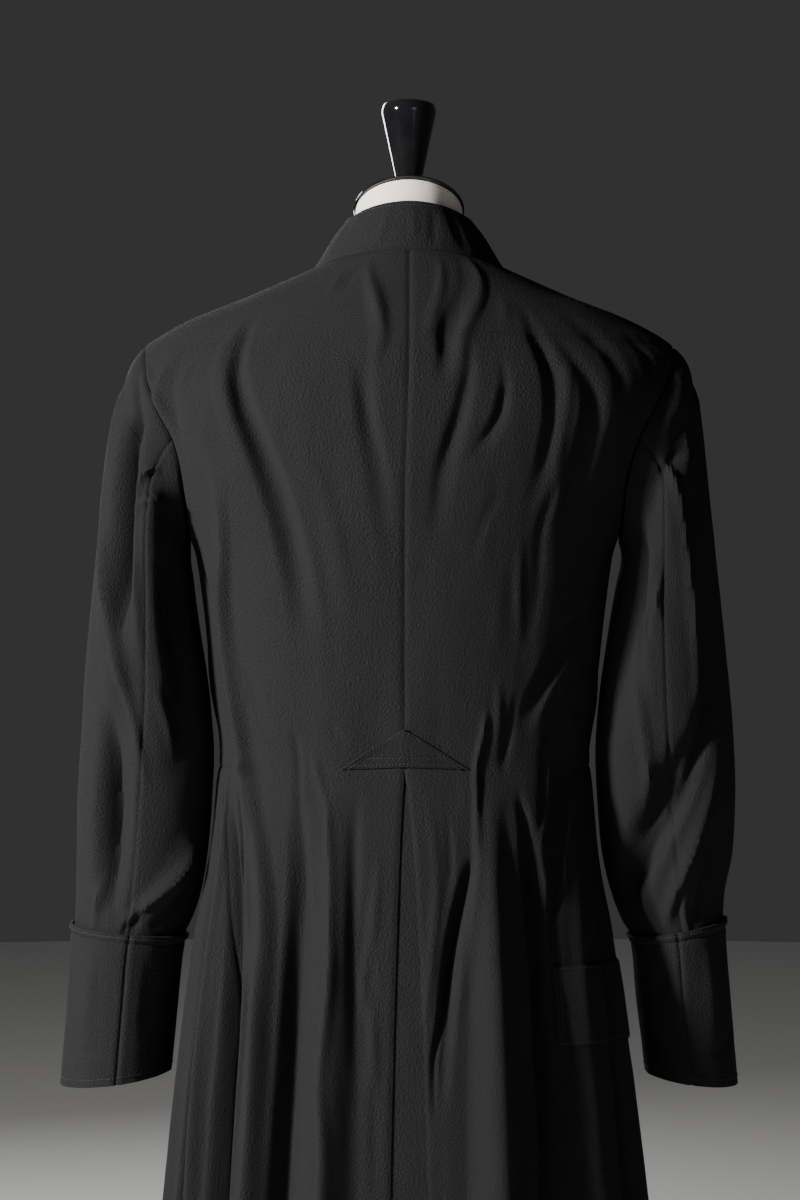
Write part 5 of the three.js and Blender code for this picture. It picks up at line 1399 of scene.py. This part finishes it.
def finishSolid(piece, material, node):
    shape = bmesh.new()
    shape.from_mesh(piece.data)
    bmesh.ops.recalc_face_normals(shape, faces=shape.faces)
    shape.to_mesh(piece.data)
    shape.free()
    piece.data.materials.clear()
    piece.data.materials.append(material)
    piece.data.shade_smooth()
    piece.data.set_sharp_from_angle(angle=math.radians(sharpAngles["turned"]))
    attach(piece, "root")
    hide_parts(node)


def ringedPiece(name, rings, material, node):
    # a closed solid through rings of points, its ends shut by fans
    rows, across = rings.shape[:2]
    points = np.vstack([rings.reshape(-1, 3), rings[0].mean(0), rings[-1].mean(0)])
    faces = gridFaces(rows, across, closed=True).tolist()
    foot, head, last = rows * across, rows * across + 1, (rows - 1) * across
    faces += [(i, foot, (i + 1) % across) for i in range(across)]
    faces += [(last + i, last + (i + 1) % across, head) for i in range(across)]
    mesh = bpy.data.meshes.new(name)
    mesh.from_pydata(points.tolist(), [], [tuple(reversed(face)) for face in faces])
    finishSolid(addObject(name, mesh), material, node)


def neckRing(shape, degrees, out=0.0, up=0.0):
    halfWidth, back, front = (np.float64(shape[k] + out) for k in ("halfWidth", "back", "front"))
    ring = section(degrees, np.float64(shape["height"]), halfWidth, back, front, np.float64(2), 0.0, 0.0)
    ring[:, 2] += shape["lean"] * ring[:, 1] + up
    return ring


def makeForm():
    form = formSettings
    degrees = np.linspace(-180, 180, form["columns"], endpoint=False)
    aside = np.abs(np.sin(np.radians(degrees))) ** 3
    rings = []
    for height in np.linspace(form["foot"], neck, form["rows"]):
        level = np.full(len(degrees), height)
        gap = blendOf(column(formGaps, level, 1), column(formGaps, level, 2), aside) + form["under"]
        rings.append(smoothBody(degrees, level) - bodyNormal(degrees, level) * (form["wall"] + gap)[:, None])
    rings[0][:, 2] = form["foot"]
    lower, middle, top = rings[-1], neckRing(neckMiddle, degrees), neckRing(neckTop, degrees)
    rings += [blendOf(lower, middle, share) for share in form["neckShares"]]
    rings += [blendOf(middle, top, share) for share in form["topShares"]]
    rings += [blendOf(top, top.mean(0), share) + [0, 0, rise] for share, rise in jerseyTop]
    ringedPiece("formJersey", np.array(rings), jersey, "form_torso")


def makeCap():
    degrees = np.linspace(-180, 180, formSettings["columns"], endpoint=False)
    rings = [neckRing(neckTop, degrees, out, up) for out, up in capRim]
    centre = rings[-1].mean(0)
    rings += [blendOf(rings[-1], centre, share) + [0, 0, capRise * share] for share in capShares]
    ringedPiece("neckCap", np.array(rings), glossBlack, "neck_cap")


glossSettings = {"dark": (0.004, 0.004, 0.005), "light": (0.009, 0.009, 0.010), "between": (0.3, 0.7),
                 "rough": (0.08, 0.17), "patchScale": 30, "dustScale": 700, "bump": (0.0006, 0.12),
                 "sockets": {"Coat Weight": 0.4, "Coat Roughness": 0.05}}
steelSettings = {**glossSettings, "dark": (0.16, 0.16, 0.17), "light": (0.26, 0.26, 0.27),
                 "rough": (0.24, 0.40), "sockets": {"Metallic": 0.9}}
jersey = jerseyMaterial()
glossBlack = glossMaterial("glossBlack", glossSettings)
poleSteel = glossMaterial("poleSteel", steelSettings)
makeForm()
makeCap()

# Stand: radius, height and rounding of each corner of the turned pieces
turnedSettings = {
    "finialKnob": {"node": "finial", "slot": "gloss_black", "material": glossBlack, "segments": 72, "corners": [
        (0, 1.4971, 0), (0.010, 1.4971, 0.0008), (0.011, 1.5171, 0.004), (0.0234, 1.575, 0.0022),
        (0.021762, 1.5808, 0.0012), (0.01404, 1.5842, 0.004), (0, 1.585, 0)]},
    "standPole": {"node": "pole", "slot": "pole_steel", "material": poleSteel, "segments": 48, "corners": [
        (0, 0.0143, 0), (0.0172, 0.0143, 0.0006), (0.0172, 0.040, 0.0015), (0.014, 0.042, 0.0008),
        (0.014, 0.7997, 0.0006), (0, 0.7997, 0)]},
    "standBase": {"node": "base", "slot": "gloss_black", "material": glossBlack, "segments": 128, "corners": [
        (0, 0, 0), (0.168, 0, 0.001), (0.170, 0.002, 0.0012), (0.170, 0.006, 0.0015), (0.166, 0.008, 0.002),
        (0.040, 0.013, 0.004), (0.034, 0.014, 0.002), (0, 0.014, 0)]},
}


def roundedProfile(corners, steps=8):  # a smooth profile through rounded corners
    profile = []
    for k, (radius, height, rounding) in enumerate(corners):
        here = np.array([radius, height])
        if not rounding:
            profile.append(tuple(here))
            continue
        before, after = np.array(corners[k - 1][:2]), np.array(corners[k + 1][:2])
        start, stop = here + unit(before - here) * rounding, here + unit(after - here) * rounding
        for t in np.linspace(0, 1, steps):
            profile.append(tuple((1 - t) ** 2 * start + 2 * t * (1 - t) * here + t * t * stop))
    return profile


for name, turned in turnedSettings.items():
    mesh = latheMesh(name, roundedProfile(turned["corners"]), turned["segments"])
    finishSolid(addObject(name, mesh), turned["material"], turned["node"])
print("dress form and stand made")

# Pale floor, soft key light from the wearer's left, weak fill, camera behind the coat
floorSettings = {"radius": 7.0, "sides": 96, "colour": (0.62, 0.615, 0.60, 1), "roughness": 0.85}


def makeFloor():
    material, nodes, links, shader = newMaterial("paleFloor")
    shader.inputs["Base Color"].default_value = floorSettings["colour"]
    shader.inputs["Roughness"].default_value = floorSettings["roughness"]
    mesh = bpy.data.meshes.new("floor")
    rim = [(x, y, 0) for x, y in circle(floorSettings["radius"], floorSettings["sides"])]
    mesh.from_pydata(rim, [], [tuple(range(len(rim)))])
    mesh.materials.append(material)
    addObject("floor", mesh)


makeFloor()

lightSettings = {
    "keyLight": {"place": (2.38, 1.62, 2.0), "aim": 1.05, "size": 0.38, "power": 285,
                 "colour": (1, 0.99, 0.97)},
    "fillLight": {"place": (-1.2, 3.0, 1.5), "aim": 1.1, "size": 1.2, "power": 3.5, "colour": (1, 1, 1)},
    "frontLight": {"place": (1.0, -2.8, 2.2), "aim": 1.0, "size": 1.6, "power": 50, "colour": (1, 1, 1)},
}
studioSettings = {"colour": (0.42, 0.42, 0.44, 1), "strength": 0.09}


def softLight(name, settings):  # a round lamp aimed at a height on the coat's middle line
    light = bpy.data.lights.new(name, "AREA")
    light.shape = "DISK"
    light.size = settings["size"]
    light.energy = settings["power"]
    light.color = settings["colour"]
    lamp = addObject(name, light)
    lamp.location = settings["place"]
    way = Vector((0, 0, settings["aim"])) - Vector(settings["place"])
    lamp.rotation_euler = way.to_track_quat("-Z", "Y").to_euler()


for name, settings in lightSettings.items():
    softLight(name, settings)
world = bpy.data.worlds.new("studio")
world.use_nodes = True
background = world.node_tree.nodes["Background"]
background.inputs[0].default_value = studioSettings["colour"]
background.inputs[1].default_value = studioSettings["strength"]
bpy.context.scene.world = world

cameraSettings = {"place": (0.00765, 2.300, 1.160), "lens": 81.18, "sensor": 36}
camera = bpy.data.cameras.new("camera")
camera.lens = cameraSettings["lens"]
camera.sensor_width = cameraSettings["sensor"]
eye = addObject("camera", camera)
eye.location = cameraSettings["place"]
eye.rotation_euler = (math.radians(90), 0, math.radians(180))
bpy.context.scene.camera = eye
print("floor, lights and camera placed")
